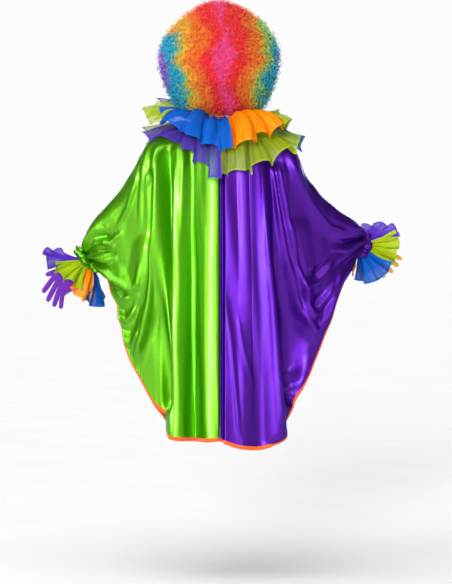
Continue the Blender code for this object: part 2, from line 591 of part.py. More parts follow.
def rest_on(trees, point, way, beside):
    """Moves a point out along a way until it clears every surface under it and close beside it."""
    push = 0.0
    for tree in trees:
        for k in (-1.0, -0.5, 0.0, 0.5, 1.0):
            place = point + beside * k
            hit = tree.ray_cast(place + way * 0.12, -way, 0.24)[0]
            if hit is not None:
                push = max(push, REST - (place - hit).dot(way))
    return point + way * push


def surfaces(objects):
    """Search trees of finished pieces, with their walls."""
    bpy.context.view_layer.update()
    graph = bpy.context.evaluated_depsgraph_get()
    return [BVHTree.FromObject(obj, graph) for obj in objects]


def ruff(ruffle, sectors, upper, trees, collection):
    """A ring of net sewn to the neckband, one piece for each colour."""
    seam = math.degrees(RUFFLE_SEAM / NECK_Y)
    made = []
    for sector in sectors:
        columns = sector.waves * SAMPLES_PER_WAVE

        def place(i, j, sector=sector, columns=columns):
            angle = sector.start + seam + (sector.end - sector.start - 2 * seam) * i / columns
            angle = angle if angle <= 180 else angle - 360
            wave, sideways, number = wave_at(i)
            fullness = 1.0 if i == columns else FULLNESS[number % len(FULLNESS)]
            reach = REACH[number % len(REACH)]
            ends = math.sin(math.pi * i / columns) ** 0.25 if 0 < i < columns else 0.0
            share = j / ruffle.rows
            point, lift = ruff_point(ruffle, angle, share, wave * fullness, sideways * ends, reach, upper)
            turn = math.radians(angle)
            aside = ruffle.length * share / SAMPLES_PER_WAVE / 4
            beside = Vector((math.cos(turn), math.sin(turn), 0)) * aside
            return point if j == 0 else rest_on(trees, point, lift, beside)

        bm = sheet_mesh(columns, ruffle.rows, place)
        made.append(thicken(add_object(sector.name, bm, sector.colour, collection), NET))
    return made


def neckband(collection):
    """The bound edge of the neckline, which stands up inside the ruffles."""
    columns, rows = 32, 1

    def place(i, j):
        turn = 2 * math.pi * i / columns
        return Vector((NECK_X * math.sin(turn), -NECK_Y * math.cos(turn), BAND_HEIGHT * j - 0.004))

    bm = sheet_mesh(columns, rows, place, closed=True)
    thicken(add_object("neckband", bm, "orange_binding", collection), SATIN)


def cuff_ruffle(side, collection):
    """The net ruffle at a wrist, a bell that opens towards the hand, one piece for each colour."""
    wrist, cuff = WRISTS[side], CUFFS[side]
    up, rear = wrist_frame(side)
    start_radius = wrist.radius * 0.88 + SATIN / 2 + NET / 2 + SEAM_GAP + cuff.start_wave * 1.25
    start = wrist.centre + wrist.axis * (wrist.band_length - 0.003)
    label = "left" if side == LEFT else "right"
    for sector in CUFF_SECTORS[side]:
        columns = sector.waves * SAMPLES_PER_WAVE
        seam = math.degrees(RUFFLE_SEAM / start_radius)

        def place(i, j, sector=sector, columns=columns):
            turn = math.radians(sector.start + seam + (sector.end - sector.start - 2 * seam) * i / columns)
            across = up * math.cos(turn) + rear * math.sin(turn)
            sideways_way = rear * math.cos(turn) - up * math.sin(turn)
            wave, sideways, number = wave_at(i)
            fullness = 1.0 if i == columns else FULLNESS[(number + 3) % len(FULLNESS)]
            reach = REACH[(number + 2) % len(REACH)]
            ends = math.sin(math.pi * i / columns) ** 0.25 if 0 < i < columns else 0.0
            share = j / cuff.rows
            steps, point, flare = 8, start + across * start_radius, math.radians(cuff.start_flare)
            for k in range(steps):
                part = (k + 0.5) / steps * share
                flare = math.radians(cuff.start_flare + (cuff.end_flare - cuff.start_flare) * part)
                ahead = wrist.axis * math.cos(flare) + across * math.sin(flare)
                point = point + ahead * (cuff.length * reach * share / steps)
            lift = across * math.cos(flare) - wrist.axis * math.sin(flare)
            height = cuff.start_wave + (cuff.end_wave - cuff.start_wave) * share**0.8
            point += lift * (height * wave * fullness) + sideways_way * (0.003 * share * sideways * ends)
            return point

        bm = sheet_mesh(columns, cuff.rows, place)
        thicken(add_object(f"cuff_{label}_{sector.name}", bm, sector.colour, collection), NET)


# ---------------------------------------------------------------- the wig
def wig_point(azimuth, share, centre, half, nape, lump):
    """A point of the wig's outside or inside: share 0 is the crown and 1 the rim of the opening."""
    front = smooth(FACE_HALF_ANGLE - 14, FACE_HALF_ANGLE + 14, abs(180 - azimuth % 360))
    polar = math.radians((FOREHEAD + (nape - FOREHEAD) * front) * share)
    turn = math.radians(azimuth)
    way = Vector((math.sin(polar) * math.sin(turn), -math.sin(polar) * math.cos(turn), math.cos(polar)))
    swell = math.sin(5 * way.x + 2 * way.z) + math.sin(5 * way.z - 3 * way.y) + math.sin(6 * way.y + 3)
    return centre + way * half + way * (lump * swell * (1 - smooth(0.8, 1.0, share)))


def wig(collection):
    """A thick shell of curls: its outside, the rim of the face and nape opening, then the head's hollow."""
    columns, rows = 28, WIG_ROWS + HEAD_ROWS + 1

    def place(i, j):
        azimuth = 360 * i / columns
        if j <= WIG_ROWS:
            return wig_point(azimuth, j / WIG_ROWS, WIG_CENTRE, WIG_HALF, NAPE, WIG_LUMP)
        return wig_point(azimuth, (rows - j) / HEAD_ROWS, HEAD_CENTRE, HEAD_HALF, HEAD_NAPE, 0.0)

    bm = sheet_mesh(columns, rows, place, closed=True)
    bmesh.ops.recalc_face_normals(bm, faces=bm.faces)
    add_object("wig", bm, "wig_curls", collection)


# ---------------------------------------------------------------- the gloves
def glove(side, collection):
    """A knitted glove: a flat tube for the wrist and palm, four fingers pulled from its end, and a thumb."""
    hand, wrist = HANDS[side], WRISTS[side]
    ahead = hand.direction.normalized()
    through = (hand.palm_normal - ahead * ahead.dot(hand.palm_normal)).normalized()
    across = through.cross(ahead) * hand.thumb_side
    arm = wrist.axis
    start = wrist.centre + arm * (wrist.band_length * 0.2)
    arm_through = (through - arm * arm.dot(through)).normalized()
    arm_across = arm_through.cross(arm) * hand.thumb_side
    columns = len(FINGERS)
    bm = bmesh.new()

    def section(centre, wide, deep, across_way, through_way):
        """Top and under rows of corners across the hand."""
        row = []
        for level in (1, -1):
            for k in range(columns + 1):
                out = 2 * k / columns - 1
                round_off = math.sqrt(max(0.0, 1 - 0.80 * out * out))
                lift = through_way * (level * deep * round_off)
                row.append(bm.verts.new(centre + across_way * (wide * out) + lift))
        return row

    wrist_half, palm_half = GLOVE_WRIST_HALF, GLOVE_PALM_HALF
    bend = start + arm * hand.wrist_length
    sections = [
        section(start, wrist_half.x, wrist_half.y, arm_across, arm_through),
        section(bend, wrist_half.x, wrist_half.y * 0.86,
                (arm_across + across).normalized(), (arm_through + through).normalized()),
        section(bend + ahead * GLOVE_PALM_LENGTH * 0.45, palm_half.x, palm_half.y * 1.15, across, through),
        section(bend + ahead * GLOVE_PALM_LENGTH, palm_half.x, palm_half.y, across, through),
    ]
    width = columns + 1
    thumb_faces = []
    for number, (a, b) in enumerate(zip(sections, sections[1:])):
        for k in range(columns):
            bm.faces.new((a[k], a[k + 1], b[k + 1], b[k]))
            bm.faces.new((a[width + k + 1], a[width + k], b[width + k], b[width + k + 1]))
        bm.faces.new((a[0], b[0], b[width], a[width]))
        side_face = bm.faces.new((a[columns], a[width + columns], b[width + columns], b[columns]))
        if number == 1:
            thumb_faces.append(side_face)
    end = sections[-1]
    for k, finger in enumerate(FINGERS):
        base = bm.faces.new((end[k], end[k + 1], end[width + k + 1], end[width + k]))
        turn = math.radians(finger.spread + hand.finger_turn)
        way = (ahead * math.cos(turn) + across * math.sin(turn) - through * 0.10).normalized()
        pull_finger(bm, base, way, across, through, finger)
    turn = math.radians(THUMB.spread + hand.thumb_turn)
    way = (ahead * math.cos(turn) + across * math.sin(turn)).normalized()
    pull_finger(bm, thumb_faces[0], way, across, through, THUMB)
    bmesh.ops.recalc_face_normals(bm, faces=bm.faces)
    label = "left" if side == LEFT else "right"
    colour = "purple_glove" if side == LEFT else "yellow_glove"
    made = add_object(f"glove_{label}", bm, colour, collection)
    rounding = made.modifiers.new("rounding", "SUBSURF")
    rounding.levels = rounding.render_levels = 1
    thicken(made, GLOVE)


def pull_finger(bm, face, way, across, through, finger):
    """Extrudes a face in two steps into a finger with a narrower tip."""
    level = across - way * way.dot(across)
    level.normalize()
    deep = way.cross(level).normalized()
    if deep.dot(through) < 0:
        deep = -deep
    centre = face.calc_center_median()
    for share, size in ((0.50, 1.0), (1.0, 0.70)):
        made = bmesh.ops.extrude_discrete_faces(bm, faces=[face])
        face = made["faces"][0]
        target = centre + way * (finger.length * share)
        middle = face.calc_center_median()
        for vert in face.verts:
            offset = vert.co - middle
            out = math.copysign(1, offset.dot(level)) * finger.half_width * size
            depth = math.copysign(1, offset.dot(deep)) * finger.half_width * size
            vert.co = target + level * out + deep * depth


def main():
    for old in list(bpy.data.objects):
        bpy.data.objects.remove(old, do_unlink=True)
    costume = new_collection("clown_costume")
    panels = [
        panel("back_left", LEFT_BACK, BACK_FOLDS, LEFT, BACK, 30, "green_satin", costume),
        panel("back_right", RIGHT_BACK, BACK_FOLDS, RIGHT, BACK, 30, "purple_satin", costume),
        panel("front_left", LEFT_FRONT, FRONT_FOLDS, LEFT, FRONT, 22, "green_satin", costume),
        panel("front_right", RIGHT_FRONT, FRONT_FOLDS, RIGHT, FRONT, 22, "purple_satin", costume),
    ]
    wrist_band("wrist_band_left", LEFT, "green_satin", costume)
    wrist_band("wrist_band_right", RIGHT, "purple_satin", costume)
    neckband(costume)
    trees = surfaces(panels)
    under = ruff(LOWER, LOWER_RUFFLE, False, trees, costume)
    ruff(UPPER, UPPER_RUFFLE, True, trees + surfaces(under), costume)
    for side in (LEFT, RIGHT):
        cuff_ruffle(side, costume)
        glove(side, costume)
    wig(costume)


main()
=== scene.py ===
# %% [markdown]
# # A clown costume, worn and with nobody in it
#
# The costume is a loose satin poncho, green on the wearer's left and purple on the right, bound in orange
# all round its edge and gathered at the wrists. Two layers of coloured net stand round the neck, a net
# ruffle opens over each hand, and a curly wig and a pair of gloves complete the set. The solids of the
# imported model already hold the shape. This lesson lays finer cloth on the same hang lines, adds what a
# sewer and a stylist add, and gives each piece its finish.
#
# Metres throughout, +Z up. The origin is the middle of the neckline, +Y is the way the costume faces and +X
# is the wearer's right.

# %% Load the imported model
import math
from collections import namedtuple

import bmesh
import bpy
import numpy as np
from mathutils import Matrix, Vector
from mathutils.bvhtree import BVHTree


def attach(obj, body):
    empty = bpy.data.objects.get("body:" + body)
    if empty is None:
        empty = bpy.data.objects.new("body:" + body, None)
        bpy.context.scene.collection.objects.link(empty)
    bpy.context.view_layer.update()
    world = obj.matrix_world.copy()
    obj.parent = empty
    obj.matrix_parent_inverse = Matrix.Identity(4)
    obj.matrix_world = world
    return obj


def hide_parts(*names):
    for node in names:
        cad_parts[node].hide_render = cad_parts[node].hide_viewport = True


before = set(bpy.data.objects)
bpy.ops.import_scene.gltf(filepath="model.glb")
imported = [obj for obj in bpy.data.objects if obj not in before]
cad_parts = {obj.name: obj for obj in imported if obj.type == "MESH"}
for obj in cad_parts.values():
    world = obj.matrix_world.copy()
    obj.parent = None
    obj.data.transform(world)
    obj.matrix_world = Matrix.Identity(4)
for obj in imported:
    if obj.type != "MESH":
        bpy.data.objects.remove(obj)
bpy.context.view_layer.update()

# %% [markdown]
# ## A way to write shader sums
#
# A finish is a small network of nodes. It could be wired by hand, but a formula reads better as a formula,
# so one small class wraps a socket and gives it Python's own operators, each of which adds a Math node.
# Other nodes come from `make`, which sets a node's options before its sockets, because some options change
# which sockets there are.

# %% The socket class
class Wire:
    """A shader socket that takes part in Python sums and makes the other nodes of its material."""

    def __init__(self, tree, socket=None):
        self.tree, self.socket = tree, socket

    def make(self, kind, settings=None, sockets=None, outlet=0):
        made = self.tree.nodes.new("ShaderNode" + kind)
        for name, value in (settings or {}).items():
            setattr(made, name, value)
        for name, value in (sockets or {}).items():
            if isinstance(value, Wire):
                self.tree.links.new(value.socket, made.inputs[name])
            else:
                made.inputs[name].default_value = value
        return Wire(self.tree, made.outputs[outlet])

    def sum(self, operation, *values):
        return self.make("Math", {"operation": operation}, dict(enumerate(values)))

    def __add__(self, other):
        return self.sum("ADD", self, other)

    def __sub__(self, other):
        return self.sum("SUBTRACT", self, other)

    def __rsub__(self, other):
        return self.sum("SUBTRACT", other, self)

    def __mul__(self, other):
        return self.sum("MULTIPLY", self, other)

    def __truediv__(self, other):
        return self.sum("DIVIDE", self, other)

    def __gt__(self, other):
        return self.sum("GREATER_THAN", self, other)

    __radd__ = __add__
    __rmul__ = __mul__

    def wave(self, period):
        """A smooth ripple between 0 and 1 with this period."""
        return self.sum("SINE", self * (2 * math.pi / period)) * 0.5 + 0.5

    def parts(self):
        """The x, y and z of a vector socket."""
        return [self.make("SeparateXYZ", {}, {"Vector": self}, k) for k in range(3)]

    def noise(self, scale, detail=2.0, rough=0.5):
        return self.make("TexNoise", {}, {"Vector": self, "Scale": scale, "Detail": detail,
                                          "Roughness": rough})

    def stretch(self, x, y, z):
        return self.make("Mapping", {}, {"Vector": self, "Scale": (x, y, z)})

    def rise(self, low, high):
        """0 below low, 1 above high, and a smooth rise between them."""
        return self.make("MapRange", {"interpolation_type": "SMOOTHSTEP"}, {0: self, 1: low, 2: high})

    def blend(self, one, other):
        """One colour where this mask is 0 and the other where it is 1."""
        ends = [end if isinstance(end, Wire) else (*end, 1) for end in (one, other)]
        return self.make("Mix", {"data_type": "RGBA"}, {0: self, 6: ends[0], 7: ends[1]}, 2)


print("wires can be joined with +, -, *, / and >")

# %% [markdown]
# ## Starting and feeding a finish
#
# Every finish is the standard shader with a few constants, plus what varies over the surface: colour,
# roughness, see-through share and fine relief. Cloth is mapped by a UV map in metres, so its weave keeps
# its size. Knit and hair are mapped by the object's own coordinates.

# %% Helpers for every finish
def new_finish(name, **settings):
    """A material with these constants on its shader, and a wire to build the rest from."""
    made = bpy.data.materials.new(name)
    made.use_nodes = True
    shader = made.node_tree.nodes["Principled BSDF"]
    for label, value in settings.items():
        shader.inputs[label.replace("_", " ").title().replace("Ior", "IOR")].default_value = value
    return made, Wire(made.node_tree)


def feed(made, start, colour=None, roughness=None, alpha=None, height=None, depth=0.0005):
    """Links what varies over the surface: colour, roughness, see-through share, and relief in metres."""
    shader = made.node_tree.nodes["Principled BSDF"]
    links = made.node_tree.links
    for label, wire in (("Base Color", colour), ("Roughness", roughness), ("Alpha", alpha)):
        if wire is not None:
            links.new(wire.socket, shader.inputs[label])
    if height is not None:
        bump = start.make("Bump", {}, {"Height": height, "Distance": depth, "Strength": 1.0})
        links.new(bump.socket, shader.inputs["Normal"])
    return made


def cloth_map(start):
    """The cloth's own coordinates in metres: x across the piece and y down it."""
    return start.make("UVMap", {"uv_map": "cloth"})


def solid_map(start):
    """The object's own coordinates in metres."""
    return start.make("TexCoord", outlet="Object")


print("helpers for finishes are ready")

# %% [markdown]
# ## Satin
#
# Satin is woven with long floats, so it is smooth and bright along one direction and shows almost no weave.
# On the real poncho the light breaks into broad streaks along the folds, which are in the mesh. The finish
# adds what is too fine for it: threads a third of a millimetre apart, slubs drawn out down the cloth, and
# faint pressing marks a few centimetres wide.

# %% Satin finishes
THREAD_SPACING, PICK_SPACING = 0.00034, 0.0011  # of the threads across and down the cloth


def satin(name, colour, deep, edge, gloss):
    """The cloth is colour where it is full and deep where it is thin, and edge tints the light it throws."""
    made, start = new_finish(
        name, metallic=0.88, specular_ior_level=0.20, specular_tint=(*edge, 1),
        coat_weight=gloss, coat_roughness=0.25, coat_ior=1.9)
    cloth = cloth_map(start)
    across, down, _ = cloth.parts()
    slubs = cloth.stretch(420, 9, 1).noise(1.0, 3.0, 0.6)
    marks = cloth.stretch(1, 0.55, 1).noise(34.0, 3.0, 0.55)
    patches = cloth.noise(5.0, 1.0)
    tone = slubs * 0.45 + patches * 0.55
    roughness = 0.34 + marks * 0.09 + slubs * 0.05
    threads = across.wave(THREAD_SPACING) * 0.05 + down.wave(PICK_SPACING) * 0.02
    relief = marks * 0.8 + slubs * 0.10 + threads
    return feed(made, start, tone.blend(deep, colour), roughness, None, relief, 0.0011)


green_satin = satin("green satin", (0.150, 0.500, 0.001), (0.095, 0.410, 0.001), (0.16, 0.50, 0.02), 0.26)
purple_satin = satin("purple satin", (0.116, 0.0165, 0.400), (0.075, 0.007, 0.285), (0.17, 0.05, 0.56), 0.07)
print("satin finishes:", green_satin.name, "and", purple_satin.name)

# %% [markdown]
# ## Bias tape
#
# The edge is bound with bias tape, a strip cut across the grain and folded over the edge. Its weave runs at
# 45 degrees, which is two waves multiplied, and one line of stitches holds it down. The stitches are drawn
# and not modelled, because thread is finer than the mesh.

# %% The tape's finish
TWILL_SPACING = 0.0009
STITCH_ROW, STITCH_ROW_HALF, STITCH_LENGTH = 0.0026, 0.0006, 0.0032  # place, half width, one to the next


def bias_tape(name, colour, deep):
    made, start = new_finish(name, roughness=0.55, sheen_weight=0.25, specular_ior_level=0.35)
    across, down, _ = cloth_map(start).parts()
    twill = (across + down).wave(TWILL_SPACING) * (across - down).wave(TWILL_SPACING)
    seam = down.sum("COMPARE", down, STITCH_ROW, STITCH_ROW_HALF)
    stitch = seam * (across.wave(STITCH_LENGTH) > 0.25)
    pucker = across.wave(STITCH_LENGTH) * seam
    tone = twill * 0.5 + 0.5 - stitch * 0.6
    relief = twill * 0.12 - seam * 0.5 + stitch * 0.7 + pucker * 0.2
    return feed(made, start, tone.blend(deep, colour), None, None, relief, 0.0006)


orange_tape = bias_tape("orange bias tape", (1.0, 0.130, 0.0), (0.72, 0.06, 0.0))
print("tape finish:", orange_tape.name)

# %% [markdown]
# ## Net
#
# Stiff net is mostly holes, but from a step away the eye sees only how much shows through. So the finish is
# see-through, with two crossing families of fine lines, soft pleats, more cover where it is gathered, and a
# firmer line beside the free edge. In the hollows of the pleats its colour is painted darker, as painted
# shade. The nets of the wrists are packed closer, so they hide more.

# %% Net finishes
MESH_SPACING, MESH_SLOPE = 0.0019, 0.6
HEM_LINE, HEM_HALF = 0.0045, 0.0016  # place and half width of the firmer line beside the free edge


def net(name, colour, shade, cover):
    """Cover is the share of the light that one layer of net stops near its free edge."""
    made, start = new_finish(name, roughness=0.66, specular_ior_level=0.12)
    cloth = cloth_map(start)
    across, down, _ = cloth.parts()
    one = (across + down * MESH_SLOPE).wave(MESH_SPACING)
    other = (across - down * MESH_SLOPE).wave(MESH_SPACING)
    threads = one.sum("MAXIMUM", one, other)
    pleats = cloth.stretch(130, 5, 1).noise(1.0, 2.0)
    gathered = pleats.sum("MAXIMUM", 0.0, 1 - down * 14)
    to_edge = start.make("Attribute", {"attribute_name": "to_edge"}, outlet="Fac")
    hem = to_edge.sum("COMPARE", to_edge, HEM_LINE, HEM_HALF)
    alpha = threads * 0.22 + (cover - 0.34) + pleats * 0.42 + gathered * 0.35 + hem * 0.34
    # painted shade: the colour runs from the darker shade in the hollows of the pleats to full colour on
    # their crests
    tone = pleats * 0.9 + threads * 0.1
    return feed(made, start, tone.blend(shade, colour), None, alpha, pleats + threads * 0.1, 0.0012)


# shade is the darker colour painted into the hollows of the pleats, as painted shade
Net = namedtuple("Net", "colour shade neck_cover wrist_cover")
NET_COLOURS = {
    "blue_net": Net((0.0, 0.125, 0.53), (0.0, 0.055, 0.38), 0.88, 0.92),
    "orange_net": Net((1.0, 0.360, 0.0), (0.86, 0.13, 0.0), 0.80, 0.90),
    "lime_net": Net((0.42, 0.56, 0.002), (0.22, 0.32, 0.001), 0.64, 0.94),
    "purple_net": Net((0.095, 0.022, 0.46), (0.06, 0.010, 0.36), 0.62, 0.88),
}
NECK_NETS, WRIST_NETS = {}, {}
for slot, (colour, shade, neck_cover, wrist_cover) in NET_COLOURS.items():
    label = slot.replace("_", " ")
    NECK_NETS[slot] = net(label, colour, shade, neck_cover)
    WRIST_NETS[slot] = net(label + " of the wrists", colour, shade, wrist_cover)
print("nets:", ", ".join(NET_COLOURS))

# %% [markdown]
# ## Glove knit and wig fibre
#
# The gloves are a stretch knit: columns of stitches, called wales, run down the hand and courses run round
# it, with a little fluff over both. The wig's fibre is one finish for every colour of hair, and reads the
# dye from the strand that it is on. Towards each root, and on the cap, the dye is painted a little darker,
# as painted shade where the curls crowd together.

# %% Knit and fibre
WALE_SPACING, COURSE_SPACING = 0.0016, 0.0013


def knit(name, colour, deep):
    made, start = new_finish(name, roughness=0.72, sheen_weight=0.45, specular_ior_level=0.3)
    place = solid_map(start)
    ribs = place.parts()
    wales = (ribs[0] * 0.8 + ribs[1] * 0.6).wave(WALE_SPACING)
    courses = ribs[2].wave(COURSE_SPACING)
    fluff = place.noise(900.0, 2.0)
    tone = wales * 0.35 + courses * 0.2 + fluff * 0.45
    return feed(made, start, tone.blend(deep, colour), None, None, wales * 0.6 + courses * 0.4, 0.00035)


def hair(name):
    made, start = new_finish(name, roughness=0.60, sheen_weight=0.22, sheen_roughness=0.5,
                             specular_ior_level=0.3)
    strand = start.make("Attribute", {"attribute_name": "strand"})
    toward_tip = start.make("Attribute", {"attribute_name": "strand"}, outlet="Alpha")
    fibres = solid_map(start).stretch(1, 1, 0.4).noise(1400.0, 2.0)
    # painted shade: the dye made a little darker, given at the roots of the curls and on the cap under them,
    # and fading to the full dye towards the tip
    shade = start.make("Mix", {"data_type": "RGBA", "blend_type": "MULTIPLY"},
                       {0: 1.0, 6: strand, 7: (0.95, 0.93, 0.93, 1)}, 2)
    tone = toward_tip * 0.75 + fibres * 0.35
    return feed(made, start, tone.blend(shade, strand), None, None, fibres, 0.0006)


purple_knit = knit("purple glove knit", (0.170, 0.006, 0.50), (0.08, 0.002, 0.26))
yellow_knit = knit("yellow glove knit", (1.0, 0.62, 0.0), (0.98, 0.44, 0.0))
wig_hair = hair("wig hair")
print(len(bpy.data.materials), "materials")

# %% [markdown]
# ## Curves from short tables
#
# Hanging cloth is free in its shape, and a formula alone would make it too even. So the forms below come
# from short tables, with a smooth curve through their rows. The dents are a sum of waves with seeded dice,
# so each run gives the same cloth.

# %% Reading and blending
DENT_WAVES = 9
FULL_TURN = 6.28  # radians, for what may start or turn anywhere


def smooth(low, high, value):
    """0 below low, 1 above high, and a smooth rise between them."""
    share = np.clip((value - low) / (high - low), 0, 1)
    return share * share * (3 - 2 * share)


def read(rows, key, column, value):
    """A column of a table at values of its key column, on a smooth curve through the rows."""
    keys = np.array([getattr(row, key) for row in rows], float)
    figures = np.array([getattr(row, column) for row in rows], float)
    order = np.arange(len(rows))
    after, before = np.minimum(order + 1, len(rows) - 1), np.maximum(order - 1, 0)
    slopes = (figures[after] - figures[before]) / (keys[after] - keys[before])
    i = np.clip(np.searchsorted(keys, value, side="right") - 1, 0, len(rows) - 2)
    span = keys[i + 1] - keys[i]
    t = np.clip((value - keys[i]) / span, 0, 1)
    return (figures[i] * (2 * t**3 - 3 * t**2 + 1) + figures[i + 1] * (3 * t**2 - 2 * t**3)
            + slopes[i] * span * (t**3 - 2 * t**2 + t) + slopes[i + 1] * span * (t**3 - t**2))


def length_of(vectors):
    return np.linalg.norm(vectors, axis=-1)


def unit(vectors):
    return vectors / np.maximum(length_of(vectors), 1e-9)[..., None]


def crinkle(i, j, seed, size):
    """Small soft dents, so that no two waves of net are alike."""
    dice = np.random.default_rng(seed)
    total = np.zeros(np.broadcast(i, j).shape)
    for _ in range(DENT_WAVES):
        a, b, phase = dice.uniform(2, 14), dice.uniform(0.5, 4), dice.uniform(0, FULL_TURN)
        total = total + np.sin(i * a + j * b + phase) * dice.uniform(0.4, 1.0)
    return total * size / math.sqrt(DENT_WAVES)


print("a quarter of the way, a smooth rise is at", smooth(0, 1, 0.25))

# %% [markdown]
# ## Cloth from a grid
#
# Every sheet starts as a flat grid of faces. Its corners are moved to where the cloth hangs, and the
# distances between them, added up across and down, become its UV map, so the weave keeps its real size
# however the cloth is folded. How far each corner is from the free edge is stored too, for the net. Satin
# then gets its wall from a Solidify modifier.

# %% Laying a sheet
def add_object(name, data):
    made = bpy.data.objects.new(name, data)
    bpy.context.scene.collection.objects.link(made)
    return made


def finish_piece(name, bm, finish):
    """Turns a bmesh into a smooth-shaded object at the origin."""
    mesh = bpy.data.meshes.new(name)
    bm.to_mesh(mesh)
    bm.free()
    mesh.materials.append(finish)
    mesh.shade_smooth()
    return add_object(name, mesh)


def thicken(piece, wall):
    """Gives a surface this wall, half on each side."""
    solidify = piece.modifiers.new("wall", "SOLIDIFY")
    solidify.thickness = wall
    solidify.offset = 0


def lay_cloth(name, points, finish, wall=0.0, closed=False):
    """A sheet whose grid corners are at points, an array of columns by rows by 3."""
    columns, rows = points.shape[0] - 1, points.shape[1] - 1
    across = np.concatenate([[0], np.cumsum(length_of(np.diff(points, axis=0)).mean(axis=1))])
    down = np.concatenate([np.zeros((columns + 1, 1)), np.cumsum(length_of(np.diff(points, axis=1)), 1)], 1)
    to_side = np.minimum(across, across[-1] - across)[:, None]
    to_edge = np.minimum(down[:, -1:] - down, to_side)
    bm = bmesh.new()
    bmesh.ops.create_grid(bm, x_segments=columns, y_segments=rows, size=0.5)
    cloth = bm.loops.layers.uv.new("cloth")
    edge = bm.verts.layers.float.new("to_edge")
    for vert in bm.verts:
        i, j = round((vert.co.x + 0.5) * columns), round((vert.co.y + 0.5) * rows)
        vert.co = points[i, j]
        vert[edge] = to_edge[i, j]
        for loop in vert.link_loops:
            loop[cloth].uv = across[i], down[i, j]
    if closed:
        bmesh.ops.remove_doubles(bm, verts=bm.verts, dist=1e-6)
    made = finish_piece(name, bm, finish)
    if wall:
        thicken(made, wall)
    return made


def grid_normals(points):
    """The way out of the cloth at each corner of its grid."""
    return unit(np.cross(np.gradient(points, axis=0), np.gradient(points, axis=1)))


print("sheets keep their own map, named cloth")

# %% [markdown]
# ## The poncho's hang lines
#
# The poncho is cut as four panels, two behind and two in front, joined at the centre and along the arms.
# Each hangs from the line over the shoulder and arm, so it is lofted through hang lines: over the arm in a
# quarter ellipse, then down to the foot, which is the hem or the open side edge. A cloth simulation could
# do this too, but it can't be told where this poncho is caught and pulled.

# %% Sizes and hang lines
def table(kind, *rows):
    """Rows of plain values as rows with named columns."""
    return tuple(kind(*row) for row in rows)


def metres(value):
    """Turns whole numbers from millimetres to metres. Shares, which have a point, and names stay."""
    if isinstance(value, tuple):
        return tuple(metres(part) for part in value)
    return value / 1000 if isinstance(value, int) else value


def mm_table(kind, *rows):
    return table(kind, *metres(rows))


NECK_X, NECK_Y = 0.080, 0.074  # half width and half depth of the neckline
NECK_CLEARANCE = 0.0026  # from the neckband to the cloth
SATIN_WALL = 0.0011
PANEL_SEAM = 0.0008  # half of the space between the middles of two panels at a seam
BACK, FRONT = -1, 1  # which way a panel faces along Y
LEFT, RIGHT = -1, 1  # the wearer's side along X
SIDE_NAMES = {LEFT: "left", RIGHT: "right"}

# Along is the share of the way from the centre to the wrist. Out is the distance from the centre. The first
# lines start on the neckline, which gives them their place there instead of top_out and top_y. Whole
# numbers are millimetres, here and in the folds.
HangLine = namedtuple("HangLine", "along top_out top_y top_z depth drop foot_out foot_y foot_z")

LEFT_BACK = mm_table(
    HangLine,
    (0.00, 0, 0, 0, 55, 160, 0, -165, -1010),
    (0.09, 60, 0, 1, 80, 155, 50, -172, -1014),
    (0.17, 83, 0, 2, 122, 140, 92, -170, -1012),
    (0.26, 135, 0, -14, 112, 125, 132, -160, -1008),
    (0.35, 190, 0, -30, 95, 105, 170, -128, -988),
    (0.43, 232, 6, -50, 80, 95, 164, -74, -944),
    (0.51, 258, 14, -90, 70, 85, 212, -48, -905),
    (0.60, 290, 28, -148, 64, 75, 258, -30, -828),
    (0.70, 330, 44, -208, 58, 66, 305, -15, -735),
    (0.80, 378, 62, -262, 54, 60, 333, 5, -612),
    (0.89, 430, 80, -318, 50, 54, 356, 35, -530),
    (1.00, 458, 100, -362, 46, 48, 376, 80, -466),
)
RIGHT_BACK = mm_table(
    HangLine,
    (0.00, 0, 0, 0, 55, 160, 0, -165, -1012),
    (0.09, 60, 0, 1, 80, 155, 60, -172, -1034),
    (0.17, 83, 0, 2, 122, 140, 110, -170, -1040),
    (0.26, 135, 0, -14, 112, 125, 154, -155, -1034),
    (0.35, 190, 0, -30, 95, 105, 190, -122, -1008),
    (0.43, 232, 10, -52, 82, 95, 210, -78, -962),
    (0.51, 256, 24, -95, 74, 85, 238, -45, -915),
    (0.60, 282, 48, -158, 68, 75, 276, -20, -845),
    (0.70, 326, 80, -216, 62, 66, 320, 10, -742),
    (0.80, 378, 115, -262, 58, 60, 362, 45, -640),
    (0.89, 428, 150, -290, 52, 54, 396, 90, -540),
    (1.00, 458, 180, -312, 46, 48, 416, 150, -450),
)
LEFT_FRONT = mm_table(
    HangLine,
    (0.00, 0, 0, -4, 62, 150, 0, 172, -990),
    (0.09, 60, 0, -2, 85, 145, 50, 176, -994),
    (0.17, 83, 0, 2, 130, 140, 92, 174, -994),
    (0.26, 135, 0, -14, 120, 125, 135, 165, -990),
    (0.35, 190, 0, -30, 105, 105, 175, 145, -972),
    (0.43, 232, 6, -50, 92, 95, 200, 125, -944),
    (0.51, 258, 14, -90, 82, 85, 226, 110, -908),
    (0.60, 290, 28, -148, 74, 75, 258, 102, -835),
    (0.70, 330, 44, -208, 68, 66, 304, 100, -738),
    (0.80, 378, 62, -262, 66, 60, 334, 106, -612),
    (0.89, 430, 80, -318, 68, 54, 356, 122, -528),
    (1.00, 458, 100, -362, 70, 48, 374, 136, -464),
)
